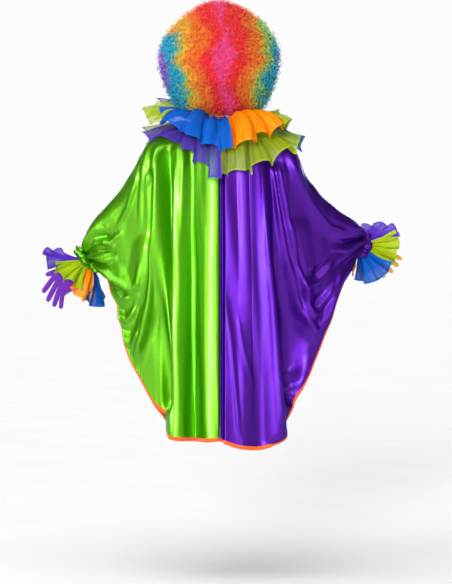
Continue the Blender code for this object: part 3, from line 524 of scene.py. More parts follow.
RIGHT_FRONT = mm_table(
    HangLine,
    (0.00, 0, 0, -4, 62, 150, 0, 172, -990),
    (0.09, 60, 0, -2, 85, 145, 56, 176, -998),
    (0.17, 83, 0, 2, 130, 140, 104, 174, -1000),
    (0.26, 135, 0, -14, 120, 125, 148, 168, -996),
    (0.35, 190, 0, -30, 105, 105, 184, 155, -978),
    (0.43, 232, 10, -52, 92, 95, 208, 140, -938),
    (0.51, 256, 24, -95, 84, 85, 238, 135, -882),
    (0.60, 282, 48, -158, 78, 75, 268, 140, -806),
    (0.70, 326, 80, -216, 74, 66, 304, 158, -705),
    (0.80, 378, 115, -262, 72, 60, 332, 180, -615),
    (0.89, 428, 150, -290, 70, 54, 354, 205, -530),
    (1.00, 458, 180, -312, 68, 48, 376, 225, -446),
)
NECK_SHARE = 0.17  # the share of a panel whose top edge is the neckline
EVEN_SPREAD = 0.54  # metres across for a whole share, which the hang lines reach below the neck
EVEN_TO = 0.43  # the share up to which they are spread so
ARM_SWING = {LEFT: 19, RIGHT: 50}  # degrees that the ellipse over the arm turns at the wrist
SWING_FROM = 0.50
SIDE_CURVE = 0.6  # how early the arm's hang lines turn in to meet the open side square
SIDE_FROM, SIDE_FULL = 0.5, 0.8  # shares between which that turn sets in
print(len(LEFT_BACK), "hang lines in each panel")

# %% [markdown]
# ## The large folds
#
# Each large fold runs down a path of a few points, and its height above the smooth cloth changes from one
# end to the other. Most grow towards the hem, because nothing holds the cloth there. They are placed one by
# one, uneven in width and depth, because an even pattern looks printed.

# %% Folds of the back
# A path has (x, z) points down the cloth. Heights are above the smooth panel, so a trough's is negative.
Fold = namedtuple("Fold", "name path half_width top_height foot_height")

BACK_FOLDS = mm_table(
    Fold,
    ("left broad ridge", ((-22, -60), (-24, -500), (-22, -1010)), 85, 16, 40),
    ("left inner valley", ((-80, -120), (-84, -550), (-78, -1010)), 36, -2, -50),
    ("left narrow ridge", ((-132, -100), (-136, -500), (-131, -1010)), 41, 20, 40),
    ("left deep valley", ((-168, -100), (-167, -500), (-161, -900)), 30, -28, -38),
    ("left swept ridge", ((-190, -90), (-196, -360), (-222, -580), (-270, -740)), 38, 18, 22),
    ("left swag", ((-395, -430), (-330, -510), (-268, -540), (-240, -400)), 52, 12, 14),
    ("seam valley", ((6, -120), (7, -500), (6, -1010)), 12, -22, -36),
    ("right broad ridge", ((76, -80), (80, -500), (70, -1020)), 105, 20, 22),
    ("right edge ridge", ((138, -100), (150, -500), (178, -1000)), 38, 12, 34),
    ("right deep valley", ((172, -120), (200, -400), (232, -620), (246, -860)), 62, -30, -56),
    ("right low valley", ((82, -620), (112, -820), (116, -1020)), 46, -3, -24),
    ("right long swag", ((186, -160), (222, -420), (290, -640), (312, -670), (345, -600), (398, -490)), 46,
     20, 18),
    ("right inner swag", ((250, -340), (284, -530), (330, -515), (410, -430)), 50, 10, 12),
    ("right arm ridge", ((226, -80), (286, -230), (360, -325), (440, -338)), 45, 6, 10),
)
deepest = min(BACK_FOLDS, key=lambda fold: fold.foot_height)
print(len(BACK_FOLDS), "folds behind, the deepest is the", deepest.name)

# %% [markdown]
# ## Folds of the front
#
# The front hangs from the same shoulders and arms, so it folds in the same way. Its folds are softer, since
# nothing pulls it.

# %% Folds of the front
FRONT_FOLDS = mm_table(
    Fold,
    ("left chest ridge", ((-70, -100), (-66, -500), (-56, -1000)), 50, 10, 36),
    ("left front valley", ((-118, -160), (-110, -550), (-104, -1000)), 40, -8, -34),
    ("left side ridge", ((-168, -120), (-158, -550), (-152, -980)), 40, 12, 34),
    ("left side valley", ((-200, -160), (-202, -550), (-194, -900)), 36, -16, -20),
    ("left swept front", ((-226, -140), (-236, -420), (-270, -700)), 46, 12, 12),
    ("left front swag", ((-395, -430), (-320, -500), (-266, -470)), 52, 10, 8),
    ("seam hollow", ((0, -140), (0, -550), (2, -990)), 36, -6, -24),
    ("right chest ridge", ((66, -100), (68, -500), (62, -1000)), 48, 10, 34),
    ("right front valley", ((114, -160), (116, -550), (112, -1000)), 40, -8, -34),
    ("right side ridge", ((160, -120), (166, -550), (164, -990)), 40, 12, 34),
    ("right side valley", ((200, -160), (210, -550), (216, -880)), 36, -16, -22),
    ("right front swag", ((236, -160), (280, -460), (320, -500), (398, -440)), 52, 12, 10),
)
print(len(FRONT_FOLDS), "folds in front")

# %% [markdown]
# ## Creases of the back
#
# Between the folds lie the creases that give satin its streaks of light: crests and troughs a finger wide,
# swags under the arm, and short pulls from the gathered wrist. A sculptor would draw them by hand. In a
# table of paths each one can be moved by itself.

# %% Creases of the back
BACK_CREASES = mm_table(
    Fold,
    ("left swept crest", ((-205, -90), (-196, -200), (-195, -330), (-203, -430), (-218, -550), (-242, -680),
     (-278, -765)), 16, 8, 8),
    ("beside the swept crest", ((-222, -120), (-218, -300), (-226, -480), (-244, -600)), 18, -8, -4),
    ("left shoulder line", ((-262, -100), (-272, -180), (-300, -270), (-338, -335)), 12, 7, 5),
    ("left shoulder line in", ((-243, -100), (-256, -210), (-261, -330)), 11, 6, 2),
    ("left hook", ((-203, -85), (-214, -150), (-238, -186), (-262, -200)), 14, 11, 3),
    ("hook hollow", ((-226, -90), (-236, -145), (-256, -170)), 13, -9, -3),
    ("narrow ridge edge", ((-144, -130), (-146, -500), (-141, -1000)), 10, 4, 6),
    ("deep valley line", ((-163, -150), (-162, -550), (-156, -900)), 12, -6, -8),
    ("broad ridge, outer step", ((-62, -200), (-64, -600), (-58, -1000)), 16, 2, 5),
    ("broad ridge, low line", ((-76, -680), (-80, -820), (-78, -940)), 9, 2, 3),
    ("shoulder pleat", ((-110, -90), (-114, -220), (-112, -400)), 13, 5, 1),
    ("deep left swag", ((-395, -452), (-345, -500), (-296, -530), (-262, -516), (-249, -430)), 17, 12, 5),
    ("under the deep swag", ((-385, -478), (-335, -527), (-285, -556), (-248, -530)), 16, -12, -5),
    ("second left swag", ((-352, -545), (-318, -566), (-286, -552), (-262, -520)), 14, 12, 5),
    ("second hollow", ((-345, -580), (-312, -600), (-284, -580)), 13, -10, -3),
    ("third left swag", ((-332, -622), (-306, -634), (-281, -606), (-264, -560)), 14, 14, 5),
    ("third hollow", ((-322, -660), (-296, -668), (-274, -640)), 12, -10, -3),
    ("fourth left swag", ((-308, -702), (-288, -710), (-266, -682), (-252, -630)), 13, 12, 3),
    ("sleeve dimple", ((-402, -338), (-374, -334), (-348, -305)), 14, 11, 3),
    ("sleeve pull", ((-405, -372), (-358, -378), (-326, -352), (-315, -325)), 12, 11, 3),
    ("sleeve hollow", ((-400, -356), (-365, -356), (-338, -338)), 10, -9, -3),
    ("knot petal above", ((-404, -380), (-382, -376), (-352, -388)), 14, 20, 10),
    ("knot petal", ((-404, -424), (-374, -436), (-344, -428)), 14, 20, 10),
    ("knot petal below", ((-396, -452), (-372, -470), (-350, -474)), 12, 10, 3),
    ("between the petals", ((-408, -402), (-380, -404), (-346, -408)), 11, -16, -8),
    ("over the petals", ((-404, -362), (-376, -358), (-348, -366)), 10, -10, -4),
    ("under the petals", ((-400, -444), (-376, -456), (-348, -452)), 9, -10, -4),
    ("left hem turn", ((-110, -800), (-104, -920), (-98, -1010)), 12, -2, -6),
    ("right edge crest", ((134, -120), (147, -430), (160, -540), (167, -690), (171, -820), (178, -970)), 13,
     4, 7),
    ("right thin ridge", ((164, -100), (188, -240), (222, -435), (258, -596), (302, -668)), 12, 9, 10),
    ("its twin", ((183, -100), (208, -240), (243, -430), (280, -580), (314, -630)), 11, 7, 7),
    ("between the twins", ((173, -100), (197, -240), (231, -430), (267, -585)), 8, -4, -3),
    ("right swag, rising", ((304, -674), (336, -628), (368, -530), (392, -465)), 15, 14, 9),
    ("third right swag", ((262, -580), (296, -616), (334, -566), (376, -485)), 14, 12, 7),
    ("third right hollow", ((274, -560), (300, -586), (332, -545)), 12, -8, -4),
    ("second right swag", ((232, -440), (262, -528), (312, -508), (385, -425)), 16, 7, 6),
    ("second right hollow", ((240, -400), (268, -492), (312, -478), (370, -420)), 18, -10, -4),
    ("right shoulder crest", ((222, -100), (254, -190), (306, -274), (351, -325), (398, -338), (440, -345)),
     13, 7, 8),
    ("over the shoulder crest", ((262, -130), (310, -225), (362, -285)), 12, -6, -4),
    ("right shoulder pleat", ((200, -100), (214, -200), (222, -330)), 12, 5, 1),
    ("right low swag", ((178, -832), (210, -864), (252, -842), (290, -790)), 18, 9, 4),
    ("over the low swag", ((188, -780), (215, -818), (250, -795), (275, -750)), 20, -9, -4),
    ("low crimp", ((205, -898), (232, -908), (256, -888)), 11, 4, 2),
    ("lower crimp", ((206, -935), (226, -940), (242, -925)), 10, 3, 1),
    ("long slanting crease", ((52, -600), (70, -700), (108, -860)), 9, 2, 3),
    ("hem crease by the seam", ((14, -540), (36, -690), (62, -1000)), 11, 2, 6),
    ("right pull above", ((440, -352), (408, -360), (374, -352)), 12, 13, 4),
    ("right pull", ((438, -384), (406, -400), (370, -398)), 12, 13, 4),
    ("right pull below", ((432, -408), (408, -436), (384, -462)), 11, 10, 2),
    ("between the pulls", ((438, -367), (406, -380), (372, -376)), 9, -10, -3),
)
print(len(BACK_CREASES), "creases behind")

# %% [markdown]
# ## Creases of the front
#
# The fronts get creases of the same kinds: lines down the folds, swags and hollows under the arms, and
# pulls beside the wrists.

# %% Creases of the front
FRONT_CREASES = mm_table(
    Fold,
    ("left chest crest", ((-74, -120), (-68, -500), (-58, -990)), 13, 4, 6),
    ("left chest dip", ((-40, -150), (-42, -420), (-38, -720)), 14, -3, -3),
    ("left front line", ((-166, -120), (-158, -520), (-152, -970)), 12, 4, 6),
    ("left front pull", ((-212, -120), (-222, -260), (-246, -420), (-276, -660)), 13, 6, 3),
    ("left arm line", ((-246, -120), (-278, -230), (-326, -330)), 12, 5, 2),
    ("left arm hollow", ((-262, -140), (-298, -260), (-338, -340)), 11, -4, -2),
    ("left under swag", ((-385, -470), (-330, -520), (-284, -512), (-256, -440)), 15, 7, 3),
    ("left under hollow", ((-372, -500), (-324, -550), (-282, -545)), 14, -6, -3),
    ("left low swag", ((-340, -600), (-306, -622), (-274, -596), (-256, -530)), 14, 7, 3),
    ("left wrist pull", ((-405, -385), (-374, -396), (-344, -392)), 10, 6, 2),
    ("left wrist pull below", ((-400, -418), (-370, -438), (-344, -446)), 10, 6, 2),
    ("left hem crease", ((-20, -660), (-30, -840), (-34, -980)), 10, 1, 5),
    ("right chest crest", ((62, -120), (66, -500), (60, -990)), 12, 4, 6),
    ("right chest dip", ((90, -160), (94, -450), (92, -800)), 13, -3, -4),
    ("right front line", ((156, -120), (162, -520), (160, -970)), 12, 5, 6),
    ("right front pull", ((214, -120), (226, -270), (252, -440), (284, -620)), 12, 6, 4),
    ("right arm line", ((250, -120), (290, -225), (350, -315), (420, -345)), 12, 5, 3),
    ("right arm hollow", ((266, -130), (312, -235), (360, -300)), 11, -4, -2),
    ("right under swag", ((236, -420), (272, -520), (320, -508), (390, -430)), 15, 6, 3),
    ("right low swag", ((262, -560), (296, -640), (332, -590), (372, -500)), 14, 7, 3),
    ("right low hollow", ((276, -540), (302, -600), (332, -556)), 13, -6, -3),
    ("right hem crease", ((20, -600), (30, -800), (30, -980)), 10, 1, 5),
    ("right wrist pull", ((436, -380), (402, -396), (366, -392)), 9, 6, 1),
)
print(len(FRONT_CREASES), "creases in front")

# %% [markdown]
# ## The height of a fold
#
# A fold is highest on its path and dies away to its half width in a curve that starts and ends level, so
# folds can cross without a sharp line. Creases also fade towards both ends of their paths.

# %% Heights over the cloth
CREASE_DEPTH = 1.4  # what every crease's height is multiplied by
CREASE_FADE = 0.06  # metres from an end of its path over which a crease comes up
CREASE_AT_END = 0.25  # the share of its height that it has at the very end


def fold_height(folds, x, z):
    """The summed height of the folds at places on the cloth."""
    total = np.zeros_like(x)
    for fold in folds:
        path = np.array(fold.path)
        lengths = length_of(np.diff(path, axis=0))
        nearest, share = np.full_like(x, np.inf), np.zeros_like(x)
        for k, ((ax, az), (bx, bz), length) in enumerate(zip(path, path[1:], lengths)):
            t = np.clip(((x - ax) * (bx - ax) + (z - az) * (bz - az)) / length**2, 0, 1)
            apart = np.hypot(x - ax - t * (bx - ax), z - az - t * (bz - az))
            share = np.where(apart < nearest, (lengths[:k].sum() + t * length) / lengths.sum(), share)
            nearest = np.minimum(nearest, apart)
        height = fold.top_height + (fold.foot_height - fold.top_height) * share
        total += height * np.clip(1 - (nearest / fold.half_width) ** 2, 0, None) ** 2
    return total


def crease_height(creases, x, z):
    """The summed height of the creases, each faded towards the ends of its path."""
    total = np.zeros_like(x)
    for crease in creases:
        first, last = np.array(crease.path[0]), np.array(crease.path[-1])
        ends = np.minimum(np.hypot(x - first[0], z - first[1]), np.hypot(x - last[0], z - last[1]))
        faded = CREASE_AT_END + (1 - CREASE_AT_END) * smooth(0.0, CREASE_FADE, ends)
        total += CREASE_DEPTH * fold_height([crease], x, z) * faded
    return total


x, z = np.array([0.08]), np.array([-0.5])
print("half way down the right back the folds raise the cloth", fold_height(BACK_FOLDS, x, z).round(3), "m")

# %% [markdown]
# ## Wrists
#
# Elastic draws the last of the sleeve into a ring round the forearm. The ring's middle and the way the
# forearm points are all that the panels, the band, the net and the glove need to meet one another, so both
# are kept in one place.

# %% Wrist rings
Wrist = namedtuple("Wrist", "centre axis radius band_start band_length")
WRISTS = {
    LEFT: Wrist(Vector((-0.424, 0.110, -0.424)), Vector((-0.62, 0.22, -0.75)).normalized(),
                0.037, 0.0019, 0.036),
    RIGHT: Wrist(Vector((0.463, 0.212, -0.373)), Vector((0.60, 0.72, -0.34)).normalized(),
                 0.037, -0.0002, 0.044),
}


def wrist_frame(side):
    """The upward and rearward directions across the wrist ring."""
    axis = WRISTS[side].axis
    up = (Vector((0, 0, 1)) - axis * axis.z).normalized()
    rear = up.cross(axis).normalized()
    return np.array(up), np.array(rear if rear.y < 0 else -rear)


def wrist_point(side, face, share, radius, forward=0.0):
    """A point of the wrist ring: share 0 is its top and 1 its underside, on the face's own half."""
    wrist = WRISTS[side]
    up, rear = wrist_frame(side)
    turn = np.pi * np.asarray(share)[..., None]
    across = up * np.cos(turn) - rear * face * np.sin(turn)
    place = np.array(wrist.centre) + np.array(wrist.axis) * np.asarray(forward)[..., None]
    return place + across * np.asarray(radius)[..., None], across


print("wrists", [round(WRISTS[side].centre.length, 3) for side in (LEFT, RIGHT)], "m from the neck")

# %% [markdown]
# ## The smooth cloth
#
# Without its folds, a panel is a loft through the hang lines. A point of it has three numbers: how far
# along the panel it is, how far round the ellipse over the arm, and how far down from there. One function
# turns them into a place for all four panels.

# %% Loft through the hang lines
def smooth_cloth(lines, side, face, along, turn, share):
    """Points of the panel before its folds."""
    def at(column):
        return read(lines, "along", column, along)

    angle = np.radians(turn)
    swing = np.radians(ARM_SWING[side] * smooth(SWING_FROM, 1.0, along))
    out, round_neck = at("top_out"), np.pi / 2 * along / NECK_SHARE
    x = np.where(along < NECK_SHARE, (NECK_X + NECK_CLEARANCE) * np.sin(round_neck), out)
    y = np.where(along < NECK_SHARE, face * (NECK_Y + NECK_CLEARANCE) * np.cos(round_neck), at("top_y"))
    x = x + (np.minimum(EVEN_SPREAD * along, out) - x) * np.sin(angle) ** 2 * (along < EVEN_TO)
    depth = at("depth")
    x = x - face * depth * np.sin(angle) * np.sin(swing)
    y = y + face * depth * np.sin(angle) * np.cos(swing)
    z = at("top_z") - at("drop") * (1 - np.cos(angle))
    y = y + (at("foot_y") - y) * share
    z = z + (at("foot_z") - z) * share
    early = 1 - SIDE_CURVE * smooth(SIDE_FROM, SIDE_FULL, along)
    x = x + (at("foot_out") - x) * share**early
    return np.stack([side * x, y, z], -1)


foot = smooth_cloth(LEFT_BACK, LEFT, BACK, np.array(0.0), np.array(90.0), np.array(1.0))
print("the left back ends at", foot.round(3), "in the middle")

# %% [markdown]
# ## Folds, gathers and the wrist
#
# The smooth cloth is raised along its own normal by the folds and creases, then drawn in to the wrist ring,
# where the elastic gathers it. The normal comes from two small steps aside on the loft. The columns lie
# closer together at the centre seam and over the side, where the finest forms are.

# %% Raise the folds and close on the wrist
ARC_TURNS = (0.0, 10.0, 34.0, 62.0, 90.0)  # degrees round the quarter ellipse over the arm
ARCS, ARC_STEPS = len(ARC_TURNS) - 1, 4  # stretches between them, and rows in each
DROPS, DROP_STEPS = 9, 7  # stretches from there to the foot, and rows in each
SEAM_SHARE, SIDE_SHARE = 0.05, 0.54  # where the columns change their spacing
SEAM_COLUMNS, MIDDLE_COLUMNS, SIDE_COLUMNS = 16, 84, 146
ASIDE, ASIDE_TURN = 0.004, 2  # a small step for the normal, as a share and in degrees
DENT_HEIGHT, DENT_SEED = 0.0021, 7
RING_BLEND_FROM = 0.84  # share along a panel where it starts to close on the wrist ring
RING_COVER = 0.90  # share of the half ring that a panel covers, the rest is the side opening
RING_INSET = 0.0015  # how far short of the ring's middle the satin ends
GATHER_FROM = 0.70  # share along a panel where the gathers of the elastic start
GATHERS_PER_PANEL = 4
GATHER_HEIGHT, SMALL_GATHER_HEIGHT = 0.0075, 0.0042
SMALL_TO_LARGE = 2.75  # small gathers to a large one


def panel_grid():
    """How far along the panel each corner of its grid is, and how many stretches down."""
    along = np.concatenate([np.linspace(0, SEAM_SHARE, SEAM_COLUMNS, endpoint=False),
                            np.linspace(SEAM_SHARE, SIDE_SHARE, MIDDLE_COLUMNS, endpoint=False),
                            np.linspace(SIDE_SHARE, 1, SIDE_COLUMNS + 1)])[:, None]
    stretch = np.concatenate([np.arange(ARCS * ARC_STEPS) / ARC_STEPS,
                              ARCS + np.arange(DROPS * DROP_STEPS + 1) / DROP_STEPS])[None, :]
    return np.broadcast_arrays(along, stretch)


def smooth_normal(lines, side, face, along, turn, share):
    """The way out of the smooth cloth."""
    here = smooth_cloth(lines, side, face, along, turn, share)
    over = smooth_cloth(lines, side, face, along, turn + ASIDE_TURN, share) - here
    under = here - smooth_cloth(lines, side, face, along, turn, np.clip(share - ASIDE, 0, 1))
    down = np.where((share == 0)[..., None], over, under)
    near = np.where(along > 0.5, along - ASIDE, along + ASIDE)
    outward = smooth_cloth(lines, side, face, near, turn, share) - here
    outward = np.where((along > 0.5)[..., None], -outward, outward)
    normal = np.cross(down, outward) * (-side * face)
    normal[..., 0] *= smooth(0.0, 0.06, along)
    return unit(normal)


def gathers(side, along, row_share):
    """The waves that the elastic draws up, with smaller and uneven ones between them."""
    level = np.sin(np.pi * row_share) ** 0.5
    turn = 2 * np.pi * GATHERS_PER_PANEL * row_share
    large = GATHER_HEIGHT * smooth(GATHER_FROM, 1.0, along) * level
    small = SMALL_GATHER_HEIGHT * smooth(0.76, 0.93, along) * level
    small = small * (0.75 + 0.45 * np.sin(5 * turn / 4 + 2.0 * side))
    return large * np.cos(turn) + small * np.cos(turn * SMALL_TO_LARGE + 7 * along + 1.0)


def panel_points(lines, folds, creases, side, face):
    """The grid of one panel, from the centre seam to the wrist and from the top edge to the foot."""
    along, stretch = panel_grid()
    turn = np.interp(stretch, range(ARCS + 1), ARC_TURNS)
    share = np.clip((stretch - ARCS) / DROPS, 0, 1)
    row_share = stretch / (ARCS + DROPS)
    here = smooth_cloth(lines, side, face, along, turn, share)
    normal = smooth_normal(lines, side, face, along, turn, share)
    calm = smooth(0, 90, turn) * (1 - smooth(0.45, 0.60, along) * smooth(0.75, 1.0, share))
    fine = smooth(0, 34, turn) * smooth(0.0, 0.03, along)
    folded = fold_height(folds, here[..., 0], here[..., 2]) * calm
    creased = crease_height(creases, here[..., 0], here[..., 2]) * fine
    dents = crinkle(here[..., 0] * 9, here[..., 2] * 5, DENT_SEED + side + face, DENT_HEIGHT) * fine
    point = here + normal * (folded + creased + dents)[..., None]
    ring, across = wrist_point(side, face, row_share * RING_COVER, WRISTS[side].radius, -RING_INSET)
    closing = smooth(RING_BLEND_FROM, 1.0, along)[..., None]
    point = point + (ring - point) * closing
    lift = unit(normal + (across - normal) * closing)
    waves = gathers(side, along, row_share)
    waves = waves + creased * closing[..., 0] * (1 - smooth(0.94, 1.0, along))
    point = point + lift * waves[..., None]
    point[..., 0] += side * PANEL_SEAM * (1 - smooth(0.0, 0.04, along))
    apart = PANEL_SEAM * (1 - smooth(0, 30, turn)) * (share == 0) * smooth(0.10, NECK_SHARE, along)
    point[..., 1] += face * apart * (1 - closing[..., 0])
    point += wrist_frame(side)[1] * (-face * apart[..., None] * closing)
    return point, along


print("a panel's grid has", " by ".join(str(count) for count in panel_grid()[0].shape), "corners")

# %% [markdown]
# ## Crimps along the edge, and the centre seam
#
# The tape is a little tighter than the satin, so the satin puckers along it in small crimps. They are a
# wave along the edge whose length wanders, strongest a couple of centimetres in. At the centre the cloth
# turns in by a seam allowance, which closes the seam as sewing does.

# %% Crimp the edge and turn in the seam
CRIMP_LENGTH = 0.017  # from one crimp to the next
CRIMP_IN, CRIMP_HALF = 0.018, 0.013  # how far in the crimps are strongest, and how quickly they fade
TAPE_REACH = 0.007  # the crimps start this far in, under the tape
SEAM_ALLOWANCE, SEAM_TURN = 0.007, 0.0005


def crimp(points, along, crimp_height):
    """Pulls small crimps into the cloth along the bound side edge."""
    normals = grid_normals(points)
    edge = np.concatenate([[0], np.cumsum(length_of(np.diff(points[:, -1], axis=0)))])[:, None]
    gaps = length_of(np.diff(points, axis=1))[:, ::-1]
    inward = np.concatenate([np.zeros((len(points), 1)), np.cumsum(gaps, axis=1)], axis=1)[:, ::-1]
    slow = np.sin(edge * 37) + np.sin(edge * 61 + 1.7)
    ripple = np.sin(edge * 2 * np.pi / CRIMP_LENGTH + 1.6 * slow + inward * 30)
    where = smooth(0.56, 0.66, along) * (1 - smooth(0.90, 0.97, along)) + 0.25 * smooth(0.1, 0.2, along)
    size = crimp_height * (0.6 + 0.25 * slow)
    size = size * np.exp(-(((inward - CRIMP_IN) / (CRIMP_HALF + 0.003 * slow)) ** 2))
    size = size * where * smooth(TAPE_REACH, 2 * TAPE_REACH, inward)
    return points + normals * (size * ripple)[..., None]


def turn_in(points, face):
    """Adds the seam allowance, which turns into the hollow behind the centre edge."""
    inner = points[0].copy()
    inner[:, 1] -= face * (SEAM_TURN + SEAM_ALLOWANCE * smooth(0.01, 0.08, -inner[:, 2]))
    return np.concatenate([inner[None], points])


print("crimps", round(1000 * CRIMP_LENGTH), "mm apart, seam allowance", round(1000 * SEAM_ALLOWANCE), "mm")

# %% [markdown]
# ## The four satin panels
#
# The poncho's left half is green and its right half purple. Each panel is a grid moved by the functions
# above and given its satin. The grids are kept, because the tape is made from their edges and the net rests
# on them.

# %% Lay the panels
FOLDS = {BACK: (BACK_FOLDS, BACK_CREASES), FRONT: (FRONT_FOLDS, FRONT_CREASES)}
SATINS = {LEFT: (green_satin, "green_satin"), RIGHT: (purple_satin, "purple_satin")}
Panel = namedtuple("Panel", "lines side face crimp_height")
PANELS = {
    "back_left": Panel(LEFT_BACK, LEFT, BACK, 0.0028),
    "back_right": Panel(RIGHT_BACK, RIGHT, BACK, 0.0014),
    "front_left": Panel(LEFT_FRONT, LEFT, FRONT, 0.0022),
    "front_right": Panel(RIGHT_FRONT, RIGHT, FRONT, 0.0016),
}


def face_out(points, outward):
    """Lists the columns the other way where the cloth would face in."""
    return points if outward > 0 else points[::-1]


grids, satin_pieces = {}, {}
for name, (lines, side, face, crimp_height) in PANELS.items():
    points, along = panel_points(lines, *FOLDS[face], side, face)
    grids[name] = turn_in(crimp(points, along, crimp_height), face)
    satin_pieces[name] = lay_cloth(name + "_satin", face_out(grids[name], side * face), SATINS[side][0],
                                   SATIN_WALL)
    print(name, "satin:", len(satin_pieces[name].data.polygons), "faces")

# %% [markdown]
# ## The orange binding
#
# The tape is one strip folded in half over the raw edge, 11 mm deep on each face. A curve with a bevel
# would cut through the folds, so it is made from the panel's own points: at each column a U-shaped section
# follows the cloth up from its edge, moved out along the cloth's normal. That keeps it on the cloth through
# every fold and crimp.

# %% Bind the edges
TAPE_DEPTH, TAPE_WALL = 0.011, 0.0007
TAPE_GAP = 0.0002  # between the satin and the tape
# Rows of the tape on one face: how far up from the edge, and how far off the others.
TAPE_ROWS = ((TAPE_DEPTH, -0.0002), (0.0105, 0.0002), (0.006, 0), (0.003, 0))
TAPE_TURNS = (0, 36, 72, 108, 144, 180)  # degrees round its fold
TAPE_FOLD = 1.3  # how far the fold stands off the edge, for one of its height off a face


def bind_edge(points):
    """The grid of the tape folded over the side edge and hem of a panel."""
    lift = SATIN_WALL / 2 + TAPE_WALL / 2 + TAPE_GAP
    gaps = length_of(np.diff(points, axis=1))[:, ::-1]
    reached = np.concatenate([np.zeros((len(points), 1)), np.cumsum(gaps, axis=1)], axis=1)
    normals = grid_normals(points)
    from_edge, normals_from_edge = points[:, ::-1], normals[:, ::-1]

    def up_cloth(distance, height):
        place, way = np.empty((len(points), 3)), np.empty((len(points), 3))
        for i, column in enumerate(reached):
            for axis in range(3):
                place[i, axis] = np.interp(distance, column, from_edge[i, :, axis])
                way[i, axis] = np.interp(distance, column, normals_from_edge[i, :, axis])
        return place + unit(way) * height

    down = unit(up_cloth(0, 0) - up_cloth(0.004, 0))
    section = [up_cloth(distance, lift + off) for distance, off in TAPE_ROWS]
    section += [up_cloth(0, lift * math.cos(turn)) + down * (lift * TAPE_FOLD * math.sin(turn))
                for turn in np.radians(TAPE_TURNS)]
    section += [up_cloth(distance, -lift - off) for distance, off in reversed(TAPE_ROWS)]
    return np.stack(section, axis=1)


tape_pieces = {}
for name, points in grids.items():
    tape = face_out(bind_edge(points), PANELS[name].side * PANELS[name].face)
    tape_pieces[name] = lay_cloth("binding_tape_" + name, tape, orange_tape, TAPE_WALL)
    print("binding", name, "is", round(float(length_of(np.diff(points[:, -1], axis=0)).sum()), 3), "m long")

# %% [markdown]
# ## The neckband
#
# The net is sewn to a bound neckband, a ring nearly 3 cm high whose top edge rolls a little. A cylinder
# would give its form, but a strip laid as a ring keeps the tape's own twill and stitches.

# %% Ring the neckline
BAND_HEIGHT, BAND_WALL = 0.0285, 0.0013
BAND_DROP = 0.004  # how far the band reaches below the neckline


def grid_shares(columns, rows, width):
    """Numbers from 0 to width across a grid, and from 0 to 1 down it."""
    return np.meshgrid(np.linspace(0, width, columns + 1), np.linspace(0, 1, rows + 1), indexing="ij")


def ring_band():
    turn, level = grid_shares(96, 6, 2 * np.pi)
    roll = 1 + 0.006 * np.sin(np.pi * level) - 0.004 * level
    points = np.stack([NECK_X * np.sin(turn) * roll, -NECK_Y * np.cos(turn) * roll,
                       BAND_HEIGHT * level - BAND_DROP], -1)
    points[-1] = points[0]
    return lay_cloth("neckband_strip", points[:, ::-1], orange_tape, BAND_WALL, closed=True)


neckband = ring_band()
print("the neckband is", round(math.pi * (NECK_X + NECK_Y), 3), "m round")

# %% [markdown]
# ## The neck ruffles
#
# Two layers of stiff net are gathered on to the neckband, the lower one longer, and each is pieced from
# several colours. How steeply each part leaves the band and ends comes from a table round the neck, because
# the net stands up at the shoulders and falls over the back. A simulation couldn't be told where each
# colour lies and how far each wave reaches.

# %% Tables of the ruffles
# A sector lies between two angles from the middle of the back, positive towards the wearer's right. Its
# free edge fans out past its seams by the fan's degrees. Reach is how far its waves go, as shares of the
# length. A tuck makes a sector flare so many degrees less, under its neighbours.
Sector = namedtuple("Sector", "name colour start end waves fan_start fan_end reach tuck", defaults=(0,))
UPPER_RUFFLE = table(
    Sector,
    ("ruff_upper_blue_back", "blue_net", -72, 10, 4, 10, 3, (0.80, 1.06, 0.94, 1.14, 0.98, 1.26, 1.04, 1.22,
     1.08)),
    ("ruff_upper_orange_back", "orange_net", 10, 66, 4, 2, 7, (1.10, 1.26, 1.10, 1.40, 1.12, 1.46, 1.08,
     1.20, 0.94)),
    ("ruff_upper_lime_right", "lime_net", 66, 118, 4, 8, 4, (1.00, 1.10, 0.94, 1.08, 1.00)),
    ("ruff_upper_orange_front", "orange_net", 118, 180, 5, 3, 3, (0.95, 1.04, 0.96, 1.06, 1.0, 1.0)),
    ("ruff_upper_purple_front", "purple_net", 180, 226, 3, 3, 28, (1.0, 1.02, 1.00, 1.18, 1.32)),
    ("ruff_upper_lime_left", "lime_net", 226, 288, 4, 3, 11, (0.56, 0.58, 0.74, 0.96, 1.20, 1.24, 1.06)),
)
LOWER_RUFFLE = table(
    Sector,
    ("ruff_lower_purple_back", "purple_net", -88, 0, 4, 3, 4, (0.90, 0.84, 0.66, 0.60, 0.52, 0.86, 0.88,
     1.24, 1.18)),
    ("ruff_lower_lime_back", "lime_net", 0, 82, 4, 1, 5, (1.12, 1.16, 1.00, 1.12, 0.98, 1.10, 0.90, 1.04,
     0.98)),
    ("ruff_lower_blue_right", "blue_net", 82, 136, 3, 2, 3, (0.98, 1.05, 0.95, 1.0)),
    ("ruff_lower_orange_front", "orange_net", 136, 208, 4, 3, 3, (1.0, 1.06, 0.95, 1.05, 1.0)),
    ("ruff_lower_lime_left", "lime_net", 208, 272, 4, 3, 2, (1.0, 0.95, 1.06, 0.98, 0.92, 0.86, 0.84)),
)
